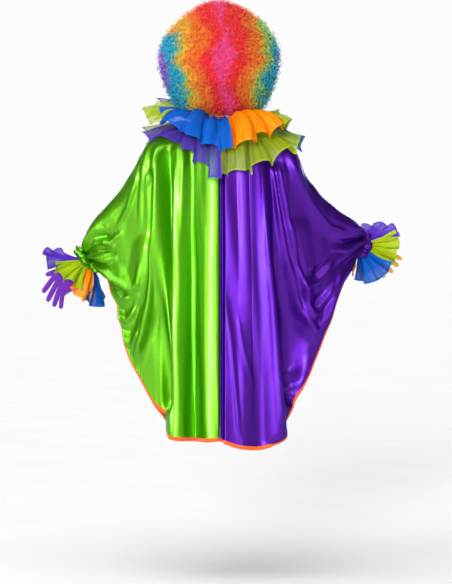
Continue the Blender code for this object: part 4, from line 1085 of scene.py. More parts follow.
# How steeply a ruffle leaves the neckband and how steeply it ends, in degrees below level.
Pitch = namedtuple("Pitch", "angle upper_start upper_end lower_start lower_end")
RUFF_PITCH = table(
    Pitch,
    (-180, 14, 50, 12, 76), (-160, -8, 24, 8, 68), (-136, -46, -28, 6, 50), (-104, -34, -12, -4, 26),
    (-84, -36, 14, -4, 28), (-60, -52, 60, 4, 58), (-35, -54, 92, 10, 84), (-12, -14, 90, 12, 88),
    (8, 0, 88, 12, 90), (35, -44, 84, 8, 82), (70, -32, 40, 4, 38), (100, -12, 26, 4, 24),
    (130, -24, 2, 4, 50), (180, 14, 50, 12, 76),
)
# The bend says how soon a ruffle turns from its first pitch to its last.
Ruffle = namedtuple("Ruffle", "length start_z start_wave end_wave side_wave bend")
UPPER = Ruffle(0.140, 0.0205, 0.0014, 0.0240, 0.015, 0.80)
LOWER = Ruffle(0.190, 0.0100, 0.0016, 0.0270, 0.018, 0.60)
for layer, sectors in (("upper", UPPER_RUFFLE), ("lower", LOWER_RUFFLE)):
    print("the", layer, "ruffle has", sum(sector.waves for sector in sectors), "waves")

# %% [markdown]
# ## The shape of a gathered wave
#
# Gathered net leaves its seam in tight pleats, three to a wave, that open into full waves at the free edge.
# A wave's crest is sharper than a sine's, no two are equally full, and each also sways sideways, which
# makes the loops at the edge of a ruff.

# %% Waves and pleats
# How far each wave in turn is fuller or flatter than the mean.
FULLNESS = np.array((1.00, 0.62, 1.22, 0.80, 1.14, 0.56, 1.30, 0.90))
SHARPNESS, SHARP_HEIGHT = 0.94, 1.22  # of a crest, and what brings its height back to one
PLEAT_HEIGHT = 0.0026
STEPS_PER_WAVE = 24
WALK_STEPS = 8  # from the sewn edge of a ruffle to any point of it
RUFFLE_SEAM = 0.0006  # half of the space between two colours of net, where they are sewn on


def wave_at(samples, offset):
    """Height and sideways shift of waves at fractions of a wave along the edge."""
    uneven = samples + 0.10 * np.sin(2.3 * samples + offset)
    fuller = FULLNESS[(np.floor(uneven + 0.25).astype(int) + offset) % len(FULLNESS)]
    turn = 2 * np.pi * uneven
    return np.arcsin(SHARPNESS * np.cos(turn)) / SHARP_HEIGHT * fuller, np.sin(turn)


def pleats_at(samples, share, offset):
    """Tight pleats beside the sewn edge, which open out before half way."""
    where = smooth(0.0, 0.10, share) * (1 - smooth(0.25, 0.62, share))
    return PLEAT_HEIGHT * where * np.cos(6 * np.pi * samples + 1.4 * np.sin(3.1 * samples + offset))


def reach_at(part, sector):
    """How far the net goes, as a share of the length. It has a pointed corner at each of its reaches."""
    return np.interp(part, np.linspace(0, 1, len(sector.reach)), sector.reach)


def ruffle_grid(sector, rows, radius):
    """Waves, shares of the length and of the sector, and the angles at the sewn edge and out from it."""
    samples, share = grid_shares(sector.waves * STEPS_PER_WAVE, rows, sector.waves)
    part = samples / sector.waves
    seam = math.degrees(RUFFLE_SEAM / radius)
    sewn = sector.start + seam + (sector.end - sector.start - 2 * seam) * part
    fan = (sector.fan_end * part**2 - sector.fan_start * (1 - part) ** 2) * share**1.3
    return samples, share, part, sewn, sewn + fan


def travel(start, share, reach, length, way_at):
    """Walks out from the sewn edge in short steps, turning as it goes."""
    point = start
    for k in range(WALK_STEPS):
        ahead, lift = way_at((k + 0.5) / WALK_STEPS * share)
        point = point + ahead * (length * reach * share / WALK_STEPS)[..., None]
    return point, lift


print("a wave is drawn by", STEPS_PER_WAVE, "faces along its edge")

# %% [markdown]
# ## Resting cloth on cloth
#
# The net lies on the satin, and the upper layer on the lower. Each point is moved along the net's own way
# up until a ray cast down through it clears everything below. Then the lift is spread over the neighbours,
# so that the net bridges the hollows. A simulation would find much the same, after a long run.

# %% Rest and even out
REST = 0.0050  # clearance of a ruffle over what it lies on
RAY_FROM, RAY_LENGTH = 0.12, 0.24
EVEN_ROUNDS = 5


def tree_of(points):
    """A search tree of a grid of points, to rest other cloth on."""
    columns, rows = points.shape[:2]
    corner = np.arange(columns * rows).reshape(columns, rows)
    faces = np.stack([corner[:-1, :-1], corner[1:, :-1], corner[1:, 1:], corner[:-1, 1:]], -1).reshape(-1, 4)
    return BVHTree.FromPolygons(points.reshape(-1, 3).tolist(), faces.tolist())


def rest_on(trees, points, ways):
    """Moves each point out along its way until it clears every surface under it. The sewn edge stays."""
    rested = points.copy()
    for place in np.ndindex(points.shape[:2]):
        if place[1] == 0:
            continue
        point, way = Vector(points[place]), Vector(ways[place])
        push = 0.0
        for tree in trees:
            hit = tree.ray_cast(point + way * RAY_FROM, -way, RAY_LENGTH)[0]
            if hit is not None:
                push = max(push, REST - (point - hit).dot(way))
        rested[place] = np.array(point + way * push)
    return rested


def even_out(rested, points, ways):
    """Spreads the lift over the neighbours."""
    push = ((rested - points) * ways).sum(-1)
    for _ in range(EVEN_ROUNDS):
        padded = np.pad(push, 1, mode="edge")
        around = (padded[:-2, 1:-1] + padded[2:, 1:-1] + padded[1:-1, :-2] + padded[1:-1, 2:]) / 4
        push = np.maximum(push, around)
    push[:, 0] = 0
    return points + ways * push[..., None]


satin_trees = [tree_of(points) for points in grids.values()]
print(len(satin_trees), "panels for the net to rest on")

# %% [markdown]
# ## Laying the neck ruffles
#
# Each colour of net is walked out from the band, turning by its pitch, with waves, pleats and dents across
# the walk. The lower layer is laid on the satin, then the upper one on both.

# %% Lay the two layers
RUFFLE_ROWS = 18
RUFFLE_CLEARANCE = 0.0019  # from the middle of the neckband's wall to a ruffle's sewn edge
SMALL_DENT, LARGE_DENT = 0.0060, 0.0110


def ruffle_points(ruffle, sector, layer, number):
    """The free shape of one colour of a neck ruffle, and which way is up from it."""
    samples, share, part, sewn, angle = ruffle_grid(sector, RUFFLE_ROWS, NECK_Y)
    angle = np.where(angle > 180, angle - 360, angle)
    start, end = (read(RUFF_PITCH, "angle", f"{layer}_{place}", angle) for place in ("start", "end"))
    turn, sewn_turn = np.radians(angle), np.radians(sewn)
    radial = np.stack([np.sin(turn), -np.cos(turn), 0 * turn], -1)
    beside = np.stack([np.cos(turn), np.sin(turn), 0 * turn], -1)
    rim = np.stack([(NECK_X + RUFFLE_CLEARANCE) * np.sin(sewn_turn),
                    -(NECK_Y + RUFFLE_CLEARANCE) * np.cos(sewn_turn), ruffle.start_z + 0 * turn], -1)

    def way_at(part_way):
        pitch = np.radians(start + (end - start) * part_way**ruffle.bend)[..., None]
        level, up = np.cos(pitch), np.sin(pitch)
        return radial * level - [0, 0, 1] * up, radial * up + [0, 0, 1] * level

    height, sideways = wave_at(samples, number)
    ends = np.sin(np.pi * np.clip(part, 0, 1)) ** 0.25
    reach = reach_at(part, sector) + 0.05 * np.abs(height) ** 3
    point, lift = travel(rim, share, reach, ruffle.length, way_at)
    size = ruffle.start_wave + (ruffle.end_wave - ruffle.start_wave) * share**0.8
    point = point + beside * (ruffle.side_wave * share * sideways * ends)[..., None]
    seed = abs(sector.start) + (10 if layer == "upper" else 0)
    dents = crinkle(samples, share * 3, seed, SMALL_DENT) * smooth(0.1, 0.8, share)
    dents += crinkle(samples * 0.22, share, abs(sector.end) + 3, LARGE_DENT) * smooth(0.15, 0.9, share)
    return point + lift * (size * height + dents + pleats_at(samples, share, number))[..., None], lift


def lay_ruffle(ruffle, sectors, layer, trees):
    """Lays the colours of one layer and gives back what other net can rest on."""
    laid = []
    for number, sector in enumerate(sectors):
        points, ways = ruffle_points(ruffle, sector, layer, number)
        points = even_out(rest_on(trees, points, ways), points, ways)
        net_pieces[sector.name] = lay_cloth(sector.name + "_net", points, NECK_NETS[sector.colour])
        laid.append(tree_of(points))
    return laid


net_pieces = {}
lower_trees = lay_ruffle(LOWER, LOWER_RUFFLE, "lower", satin_trees)
lay_ruffle(UPPER, UPPER_RUFFLE, "upper", satin_trees + lower_trees)
print(len(net_pieces), "pieces of net round the neck")

# %% [markdown]
# ## Wrist bands
#
# At each wrist the satin puffs out on both sides of the elastic, like a rolled band. It is a ring whose
# radius follows a short profile, with large puffs round it and fine gathers over them. The left one is
# fuller, because more of that sleeve is bunched in it.

# %% Wrist bands
BandStep = namedtuple("BandStep", "forward radius puff")
BAND_PROFILE = table(
    BandStep, (0.0, 1.00, 0.4), (0.30, 1.16, 1.0), (0.62, 1.04, 1.0), (0.88, 0.90, 0.0), (1.0, 0.88, 0.0))
BAND_PUFFS, BAND_GATHERS = 7, 22  # large and fine waves round the wrist
BAND_PUFF_HEIGHT = {LEFT: 0.0130, RIGHT: 0.0060}
BAND_SWELL = {LEFT: 0.34, RIGHT: 0.10}  # how much fuller a puff is than the ring
BAND_GATHER_HEIGHT = 0.0016


def wrist_band(side):
    wrist = WRISTS[side]
    turn, forward = grid_shares(144, 14, 2)
    puff = read(BAND_PROFILE, "forward", "puff", forward)
    radius = read(BAND_PROFILE, "forward", "radius", forward) * (1 + BAND_SWELL[side] * puff)
    uneven = 0.75 + 0.35 * np.sin(3 * np.pi * turn + 1.2)
    wave = BAND_PUFF_HEIGHT[side] * puff * uneven * np.cos(np.pi * BAND_PUFFS * turn + 2.2 * forward)
    phase = 3 * forward + 2 * np.sin(np.pi * 3 * turn)
    wave += BAND_GATHER_HEIGHT * puff * np.cos(np.pi * BAND_GATHERS * turn + phase)
    face = np.where(turn <= 1, BACK, FRONT)
    share = np.where(turn <= 1, turn, 2 - turn)
    ahead = wrist.band_start + (wrist.band_length - wrist.band_start) * forward
    points = wrist_point(side, face[..., None], share, wrist.radius * radius + wave, ahead)[0]
    points[-1] = points[0]
    return lay_cloth(f"wrist_band_{SIDE_NAMES[side]}_satin", face_out(points, -side), SATINS[side][0],
                     SATIN_WALL, closed=True)


bands = {side: wrist_band(side) for side in SIDE_NAMES}
print("the bands are", [wrist.band_length for wrist in WRISTS.values()], "m wide")

# %% [markdown]
# ## The net at the wrists
#
# Four colours of net are sewn under the end of each band and open over the hand as a bell. They are ruffles
# like those of the neck, so the same waves serve. The bell flares by two angles instead of a table, and on
# the left it leans, because the hand hangs to one side in it.

# %% Ruffles over the hands
# Angles run from the top of the wrist, positive round by the back of it.
CUFF_SECTORS = {
    LEFT: table(
        Sector,
        ("purple", "purple_net", -60, 55, 4, 8, 22, (1.02, 1.24, 1.18, 1.06, 0.92)),
        ("lime", "lime_net", 55, 120, 3, -4, 26, (0.80, 0.92, 0.80, 0.78)),
        ("orange", "orange_net", 120, 165, 2, 16, -12, (0.90, 1.00, 0.94), 12),
        ("blue", "blue_net", 165, 300, 4, 36, 0, (0.98, 1.10, 0.96, 1.0, 0.9), 6),
    ),
    RIGHT: table(
        Sector,
        ("purple", "purple_net", -50, 52, 4, 8, 14, (0.95, 1.08, 0.98, 1.14, 1.10)),
        ("lime", "lime_net", 52, 118, 3, 10, 0, (1.00, 1.04, 0.96, 1.00)),
        ("blue", "blue_net", 118, 205, 3, 12, 2, (0.94, 1.04, 1.04, 1.0)),
        ("orange", "orange_net", 205, 310, 3, 2, 6, (0.85, 0.93, 0.94, 1.0)),
    ),
}
# The flare is widest at one angle, and narrower by the tilt, twice, across from there.
Cuff = namedtuple("Cuff", "length start_flare end_flare tilt start_wave end_wave side_wave")
WIDEST_FLARE = math.radians(-40)
CUFFS = {
    LEFT: Cuff(0.110, 46, 64, 16, 0.0012, 0.0160, 0.010),
    RIGHT: Cuff(0.090, 46, 60, 0, 0.0012, 0.0130, 0.008),
}
CUFF_ROWS = 12
CUFF_UNDER = 0.003  # how far the net reaches in under the end of the band
CUFF_CLEARANCE = 0.0017  # from the middle of the band's wall to the net
CUFF_DENT = 0.0034


def cuff_points(side, sector):
    """The grid of one colour of net round a wrist."""
    wrist, cuff = WRISTS[side], CUFFS[side]
    up, rear = wrist_frame(side)
    axis = np.array(wrist.axis)
    start_radius = wrist.radius * BAND_PROFILE[-1].radius + CUFF_CLEARANCE + cuff.start_wave * 1.25
    samples, share, part, sewn, angle = ruffle_grid(sector, CUFF_ROWS, start_radius)
    sewn_turn, turn = np.radians(sewn)[..., None], np.radians(angle)[..., None]
    across = up * np.cos(turn) + rear * np.sin(turn)
    beside = rear * np.cos(turn) - up * np.sin(turn)
    rim = (up * np.cos(sewn_turn) + rear * np.sin(sewn_turn)) * start_radius
    start = np.array(wrist.centre) + axis * (wrist.band_length - CUFF_UNDER) + rim

    def way_at(part_way):
        end_flare = cuff.end_flare - sector.tuck + cuff.tilt * np.cos(turn - WIDEST_FLARE)
        flare = np.radians(cuff.start_flare + (end_flare - cuff.start_flare) * part_way[..., None])
        return axis * np.cos(flare) + across * np.sin(flare), across * np.cos(flare) - axis * np.sin(flare)

    height, sideways = wave_at(samples, sector.waves + side)
    ends = np.sin(np.pi * np.clip(part, 0, 1)) ** 0.25
    point, lift = travel(start, share, reach_at(part, sector), cuff.length, way_at)
    size = cuff.start_wave + (cuff.end_wave - cuff.start_wave) * share**0.8
    point = point + beside * (cuff.side_wave * share * sideways * ends)[..., None]
    dents = crinkle(samples, share * 3, abs(sector.start) + 40 + side, CUFF_DENT) * smooth(0.1, 0.8, share)
    return point + lift * (size * height + dents + pleats_at(samples, share, sector.waves) * 0.7)[..., None]


for side, label in SIDE_NAMES.items():
    for sector in CUFF_SECTORS[side]:
        name = f"cuff_{label}_{sector.name}"
        points = face_out(cuff_points(side, sector), -side)
        net_pieces[name] = lay_cloth(name + "_net", points, WRIST_NETS[sector.colour])
print(len(net_pieces), "pieces of net in all")

# %% [markdown]
# ## Fingers
#
# A finger is pulled out of the glove's end in four steps, each a little narrower, and bent towards the
# palm. Extruding keeps glove and finger one surface, so no seam has to be closed between them.

# %% Fingers and the step that pulls them
# Spread is in degrees from the middle of the hand.
Finger = namedtuple("Finger", "name spread length half_width")
FINGERS = table(
    Finger, ("little", -16, 0.056, 0.0084), ("ring", -6, 0.072, 0.0092), ("middle", 3, 0.078, 0.0095),
    ("fore", 12, 0.072, 0.0093))
THUMB = Finger("thumb", 48, 0.086, 0.0100)
FINGER_STEPS = ((0.30, 0.98), (0.62, 1.0), (0.86, 0.92), (1.0, 0.60))  # share of the length, and width
FINGER_CURL = 0.010  # how far a relaxed fingertip bends out of the hand's plane, towards the palm
FINGER_DROP = 0.10  # how far a finger points the other way where it starts


def pull_finger(bm, face, way, across, through, finger):
    """Extrudes a face in steps into a finger that narrows to its tip."""
    level = (across - way * way.dot(across)).normalized()
    deep = way.cross(level).normalized()
    deep = -deep if deep.dot(through) < 0 else deep
    centre = face.calc_center_median()
    for share, size in FINGER_STEPS:
        face = bmesh.ops.extrude_discrete_faces(bm, faces=[face])["faces"][0]
        target = centre + way * (finger.length * share) + through * (FINGER_CURL * share**2)
        middle = face.calc_center_median()
        for vert in face.verts:
            offset = vert.co - middle
            out = math.copysign(finger.half_width * size, offset.dot(level))
            depth = math.copysign(finger.half_width * size, offset.dot(deep))
            vert.co = target + level * out + deep * depth


print("the longest of", [finger.name for finger in FINGERS], "is", max(f.length for f in FINGERS), "m")

# %% [markdown]
# ## The gloves
#
# A glove is a tube for the wrist and palm, four fingers out of its end and a thumb out of its side. It
# could be sculpted, but a few flat sections say where everything is. A Subdivision Surface modifier then
# rounds it into stretched knit, and Solidify gives it its wall.

# %% Gloves
WRIST_HALF = Vector((0.0300, 0.0300))  # half width across the hand and half depth through it
PALM_HALF, PALM_LENGTH = Vector((0.041, 0.015)), 0.076
GLOVE_WRIST_LENGTH, GLOVE_WALL = 0.070, 0.0012
# Where the hand points and the palm faces, the thumb's side, and how far fingers and thumb turn aside.
Hand = namedtuple("Hand", "direction palm_normal thumb_side finger_turn thumb_turn")
HANDS = {
    LEFT: Hand(Vector((-0.90, 0.11, -0.42)), Vector((0.15, 0.97, 0.10)), 1, -40, -40),
    RIGHT: Hand(Vector((0.64, 0.66, -0.40)), Vector((0.30, -0.66, -0.69)), -1, 0, 0),
}


def glove_section(bm, centre, wide, deep, across, through):
    """Two rows of corners, over and under the hand, one more in each than it has fingers."""
    row = []
    for level in (1, -1):
        for k in range(len(FINGERS) + 1):
            out = 2 * k / len(FINGERS) - 1
            lift = through * (level * deep * math.sqrt(max(0.0, 1 - 0.80 * out * out)))
            row.append(bm.verts.new(centre + across * (wide * out) + lift))
    return row


def glove(side, finish):
    hand, wrist = HANDS[side], WRISTS[side]
    ahead, arm = hand.direction.normalized(), wrist.axis
    through = (hand.palm_normal - ahead * ahead.dot(hand.palm_normal)).normalized()
    across = through.cross(ahead) * hand.thumb_side
    arm_through = (through - arm * arm.dot(through)).normalized()
    arm_across = arm_through.cross(arm) * hand.thumb_side
    start = wrist.centre + arm * (wrist.band_length * 0.2)
    bend = start + arm * GLOVE_WRIST_LENGTH
    columns, width = len(FINGERS), len(FINGERS) + 1
    bm = bmesh.new()
    sections = [
        glove_section(bm, start, WRIST_HALF.x, WRIST_HALF.y, arm_across, arm_through),
        glove_section(bm, bend, WRIST_HALF.x, WRIST_HALF.y * 0.86,
                      (arm_across + across).normalized(), (arm_through + through).normalized()),
        glove_section(bm, bend + ahead * PALM_LENGTH * 0.45, PALM_HALF.x, PALM_HALF.y * 1.15,
                      across, through),
        glove_section(bm, bend + ahead * PALM_LENGTH, PALM_HALF.x, PALM_HALF.y, across, through),
    ]
    sides = []
    for a, b in zip(sections, sections[1:]):
        for k in range(columns):
            bm.faces.new((a[k], a[k + 1], b[k + 1], b[k]))
            bm.faces.new((a[width + k + 1], a[width + k], b[width + k], b[width + k + 1]))
        bm.faces.new((a[0], b[0], b[width], a[width]))
        sides.append(bm.faces.new((a[columns], a[width + columns], b[width + columns], b[columns])))
    end = sections[-1]
    for k, finger in enumerate(FINGERS):
        base = bm.faces.new((end[k], end[k + 1], end[width + k + 1], end[width + k]))
        turn = math.radians(finger.spread + hand.finger_turn)
        way = (ahead * math.cos(turn) + across * math.sin(turn) - through * FINGER_DROP).normalized()
        pull_finger(bm, base, way, across, through, finger)
    turn = math.radians(THUMB.spread + hand.thumb_turn)
    way = (ahead * math.cos(turn) + across * math.sin(turn)).normalized()
    pull_finger(bm, sides[1], way, across, through, THUMB)
    bmesh.ops.recalc_face_normals(bm, faces=bm.faces)
    made = finish_piece(f"glove_{SIDE_NAMES[side]}_knit", bm, finish)
    rounding = made.modifiers.new("rounding", "SUBSURF")
    rounding.levels = rounding.render_levels = 2
    thicken(made, GLOVE_WALL)
    return made


gloves = {LEFT: glove(LEFT, purple_knit), RIGHT: glove(RIGHT, yellow_knit)}
print("gloves:", gloves[LEFT].name, "and", gloves[RIGHT].name)

# %% [markdown]
# ## The wig's form
#
# A costume wig is curly fibre sewn in rows on an elastic cap. From a step away it is a ball of small curls
# with a frizzy edge. Real strands would need millions of segments, so this wig is a lumpy shell with a few
# thousand ringlets on it. One function gives the outer form and the head within: two ellipsoids that stop
# higher at the forehead than at the nape.

# %% Points on the outer and the inner form
WIG_CENTRE, WIG_HALF = np.array((0.0, -0.008, 0.2042)), np.array((0.188, 0.180, 0.194))
HEAD_CENTRE, HEAD_HALF = np.array((0.0, 0.010, 0.178)), np.array((0.078, 0.096, 0.114))
# Degrees down from the crown to the rim, then half the face opening's width and how soft its sides are.
FOREHEAD, NAPE, HEAD_NAPE = 74, 162, 136
FACE_HALF_ANGLE, FACE_SOFTNESS = 54, 14
CURL_ROOT_DEPTH = 0.011  # how far under the wig's outer form the shell of roots lies
LUMP_HEIGHT = 0.0035
LUMPS = (((5, 0, 2), 0), ((0, -3, 5), 0), ((0, 6, 0), 3))  # waves through the ball and their phases


def face_share(azimuth):
    """0 in the face opening and 1 round the back, for degrees from the middle of the back."""
    return smooth(FACE_HALF_ANGLE - FACE_SOFTNESS, FACE_HALF_ANGLE + FACE_SOFTNESS, abs(180 - azimuth % 360))


def wig_points(azimuth, share, centre, half, nape):
    """Points of one form, where share 0 is the crown and 1 the rim, and the way out at each."""
    polar = np.radians((FOREHEAD + (nape - FOREHEAD) * face_share(azimuth)) * share)
    turn = np.radians(azimuth)
    way = np.stack([np.sin(polar) * np.sin(turn), -np.sin(polar) * np.cos(turn), np.cos(polar)], -1)
    swell = sum(np.sin(way @ np.array(wave) + phase) for wave, phase in LUMPS)
    lumps = LUMP_HEIGHT * swell * (1 - smooth(0.8, 1.0, share)) * (half[0] > HEAD_HALF[0])
    return centre + way * half + way * lumps[..., None], way


print("the wig is about", 2 * WIG_HALF[0], "m wide, the head in it", 2 * HEAD_HALF[0], "m")

# %% [markdown]
# ## Dyed bands
#
# The fibre is dyed in uneven bands, from a pink parting out to red, orange, amber, moss green and teal,
# with some violet. Hair changes colour from strand to strand, where a texture would blur. So each strand
# takes one dye by its distance from the parting, which wanders, and seeded dice fray the edges.

# %% The colour of the hair at a point
Dye = namedtuple("Dye", "name colour left right")
# Each dye reaches out to these distances from the parting, in metres, on the left and on the right.
DYES = table(
    Dye,
    ("pink", (1.0, 0.055, 0.27), 0.012, 0.012),
    ("red", (1.0, 0.018, 0.018), 0.050, 0.056),
    ("orange", (1.0, 0.20, 0.006), 0.086, 0.094),
    ("amber", (1.0, 0.50, 0.020), 0.110, 0.112),
    ("moss", (0.30, 0.66, 0.150), 0.119, 0.130),
    ("teal", (0.0, 0.46, 0.68), 0.190, 0.205),
)
AMBER, MOSS = ([dye.name for dye in DYES].index(name) for name in ("amber", "moss"))
VIOLET = (0.33, 0.12, 0.72)
CROWN_DYES_ABOVE = 0.285  # above this height the sides have no teal
Streak = namedtuple("Streak", "height middle half_width")
# The pink parting wanders and swells on its way down the back.
PARTING = table(
    Streak,
    (0.02, 0.066, 0.022), (0.06, 0.046, 0.026), (0.09, 0.024, 0.022), (0.12, 0.011, 0.012),
    (0.155, 0.008, 0.018), (0.19, 0.014, 0.034), (0.22, 0.016, 0.036), (0.25, 0.020, 0.018),
    (0.285, 0.026, 0.010), (0.31, 0.004, 0.006), (0.34, 0.002, 0.010), (0.40, -0.008, 0.018),
)
# Where the dyes lie closer to the parting, or further from it where the shift is negative: the shift, then
# the middle and half width of its place out from the parting, and the same for its height.
DYE_BULGES = (
    (0.026, (-0.055, 0.034), (0.270, 0.035)), (-0.024, (-0.055, 0.028), (0.030, 0.050)),
    (0.020, (0.115, 0.040), (0.060, 0.045)),
)
VIOLET_PATCHES = (
    ((-0.182, -0.03, 0.178), 0.062), ((0.182, -0.01, 0.200), 0.034), ((0.02, 0.17, 0.30), 0.05),
    ((-0.10, 0.13, 0.15), 0.045),
)
FRAY = 0.0045  # how far strands of one dye stray into the next


def dye_at(points, dice):
    """The colour of the hair rooted at each point, with frayed edges between the dyes."""
    x, y, z = points.T
    wander = 0.016 * np.sin(17 * z + 9 * y + 2.0) + 0.010 * np.sin(41 * z - 23 * y)
    wander = wander + 0.006 * np.sin(83 * z + 1.0)
    fray = dice.normal(0, FRAY, len(x))
    middle = read(PARTING, "height", "middle", z)
    half = np.maximum(read(PARTING, "height", "half_width", z), 0.003)
    out = x - middle * np.exp(-np.abs(x) / 0.10)
    reach = np.abs(out) - 0.036 * np.clip((z - WIG_CENTRE[2]) / WIG_HALF[2], 0, 1)
    for shift, (middle_out, half_out), (middle_z, half_z) in DYE_BULGES:
        reach += shift * np.exp(-(((out - middle_out) / half_out) ** 2) - ((z - middle_z) / half_z) ** 2)
    reach = np.maximum(reach + wander * np.clip(np.abs(out) / 0.05, 0.2, 1) + fray, 0)
    reach = np.where(np.abs(out) < half + fray, 0.0, np.maximum(reach, DYES[0].left + 0.0015))
    limits = np.where(out[:, None] < 0, [[dye.left for dye in DYES]], [[dye.right for dye in DYES]])
    which = np.minimum((reach[:, None] > limits).sum(1), len(DYES) - 1)
    high = z + 2 * wander > CROWN_DYES_ABOVE
    which = np.where(high & (which > AMBER), np.where(out < 0, AMBER, MOSS), which)
    colours = np.array([dye.colour for dye in DYES])[which]
    for place, size in VIOLET_PATCHES:
        colours[length_of(points - place) + fray * 2 < size] = VIOLET
    return np.clip(colours * dice.uniform(0.90, 1.14, (len(x), 1)), 0, 1)


print("dyes from the parting out:", ", ".join(dye.name for dye in DYES))

# %% [markdown]
# ## The cap
#
# The shell is one closed surface: the matted roots outside, a wall at the face and the neck, and the cap
# inside. It is a sheet like the others, rolled up and joined along one side. Inside, it shows the brown net
# that the rows of fibre are sewn on.

# %% The shell and its lining
WEFT_SPACING = 0.0075
CAP_COLUMNS, OUTER_ROWS, WALL_ROWS, INNER_ROWS = 96, 44, 13, 22
LINING_DEPTH = 0.004  # faces this close to the head show the lining
CAP_SEED = 5


def paint_strands(mesh, colours, along):
    """Stores each point's dye and how far along its strand it is."""
    strand = mesh.attributes.new("strand", "FLOAT_COLOR", "POINT")
    strand.data.foreach_set("color", np.column_stack([colours, along]).astype(np.float32).ravel())


def wig_shell(lining):
    azimuth = np.linspace(0, 360, CAP_COLUMNS + 1)[:, None]
    outside, _ = wig_points(azimuth, np.linspace(0, 1, OUTER_ROWS + 1)[None], WIG_CENTRE,
                            WIG_HALF - CURL_ROOT_DEPTH, NAPE)
    inside, _ = wig_points(azimuth, np.linspace(1, 0, INNER_ROWS + 1)[None], HEAD_CENTRE,
                           HEAD_HALF, HEAD_NAPE)
    way_in = np.linspace(0, 1, WALL_ROWS + 1)[1:-1, None]
    wall = outside[:, -1:] + (inside[:, :1] - outside[:, -1:]) * way_in
    points = np.concatenate([outside, wall, inside], 1)
    points[-1] = points[0]
    made = lay_cloth("wig_cap", points[::-1], wig_hair, closed=True)
    mesh = made.data
    mesh.materials.append(lining)
    places = np.empty(len(mesh.vertices) * 3)
    mesh.vertices.foreach_get("co", places)
    places = places.reshape(-1, 3)
    within = length_of((places - HEAD_CENTRE) / (HEAD_HALF + LINING_DEPTH)) < 1
    for face in mesh.polygons:
        face.material_index = int(all(within[v] for v in face.vertices))
    # the shell is at the very root of every strand, so all of it takes the painted root shade
    paint_strands(mesh, dye_at(places, np.random.default_rng(CAP_SEED)), np.zeros(len(places)))
    return made


cap_net, start = new_finish("wig cap net", roughness=0.8)
wefts = solid_map(start).parts()[2].wave(WEFT_SPACING)
feed(cap_net, start, wefts.blend((0.034, 0.024, 0.021), (0.082, 0.056, 0.048)), None, None, wefts, 0.0008)
wig_cap = wig_shell(cap_net)
print("the wig's shell has", len(wig_cap.data.polygons), "faces")

# %% [markdown]
# ## Ringlets
#
# One ringlet is a triangle spun round and up at once, which is a screw, then narrowed to its tip. Hair
# curves and particles can make curls too, but a spun mesh needs no render settings and goes into any file.
# Four ringlets, tight and loose, are enough variety once each copy is turned and scaled.

# %% Spin a ringlet
Ringlet = namedtuple("Ringlet", "turns radius length strand")
RINGLETS = table(
    Ringlet, (1.9, 0.0040, 0.021, 0.00105), (1.5, 0.0052, 0.024, 0.00110), (2.3, 0.0034, 0.019, 0.00095),
    (1.2, 0.0060, 0.018, 0.00115))
RINGLET_STEPS = 10
ROOT_THICKNESS, TIP_THICKNESS = 1.15, 0.60  # of the strand
ROOT_SPREAD, TIP_SPREAD = 0.55, 1.20  # of the turns, which open like a bell


def spin_ringlet(kind):
    """Points, faces and the share along the strand of one ringlet that stands on the origin."""
    bm = bmesh.new()
    ring = bmesh.ops.create_circle(bm, segments=3, radius=kind.strand)["verts"]
    bmesh.ops.rotate(bm, verts=ring, cent=(0, 0, 0), matrix=Matrix.Rotation(math.radians(90), 3, "X"))
    bmesh.ops.translate(bm, verts=ring, vec=(kind.radius, 0, 0))
    bmesh.ops.spin(bm, geom=bm.edges[:], cent=(0, 0, 0), axis=(0, 0, 1),
                   dvec=(0, 0, kind.length / RINGLET_STEPS), angle=2 * math.pi * kind.turns,
                   steps=RINGLET_STEPS, use_merge=False)
    bmesh.ops.recalc_face_normals(bm, faces=bm.faces)
    bm.verts.index_update()
    points = np.array([v.co for v in bm.verts])
    faces = np.array([[v.index for v in f.verts] for f in bm.faces])
    bm.free()
    share = np.clip(points[:, 2] / kind.length, 0, 1)
    turn = 2 * np.pi * kind.turns * share
    middle = np.column_stack([kind.radius * np.cos(turn), kind.radius * np.sin(turn), share * kind.length])
    down_strand = share[:, None]
    points = middle + (points - middle) * (ROOT_THICKNESS + (TIP_THICKNESS - ROOT_THICKNESS) * down_strand)
    points[:, :2] *= ROOT_SPREAD + (TIP_SPREAD - ROOT_SPREAD) * down_strand
    return points, faces, share


spun = [spin_ringlet(kind) for kind in RINGLETS]
print("each ringlet has", len(spun[0][1]), "faces")

# %% [markdown]
# ## Planting the ringlets
#
# The roots are spread over the outer form by the golden angle, as seeds lie in a sunflower. More hair
# stands on the wall of the face opening, from the outer form in to the cap. Every copy leans and turns its
# own way. They are written into one mesh for each third of the wig, because thousands of objects, or one
# huge mesh, would be heavy to handle.

# %% Roots, copies and the three pieces
CURLS, FACE_CURLS = 4900, 1500
GOLDEN_ANGLE = 137.508
ROOTS_UNDER = 0.002  # how far the roots lie under the shell
PAST_RIM = 1  # degrees past the rim that still grow curls
FACE_WALL_HALF_ANGLE, WALL_SHARE = 62, 0.96  # where hair stands on the wall, and how far in
ROOT_SCATTER, LEAN_SCATTER = 0.003, 0.42
PIECE_EDGE = 0.06  # metres from the middle to the side pieces
CURL_SEED = 11


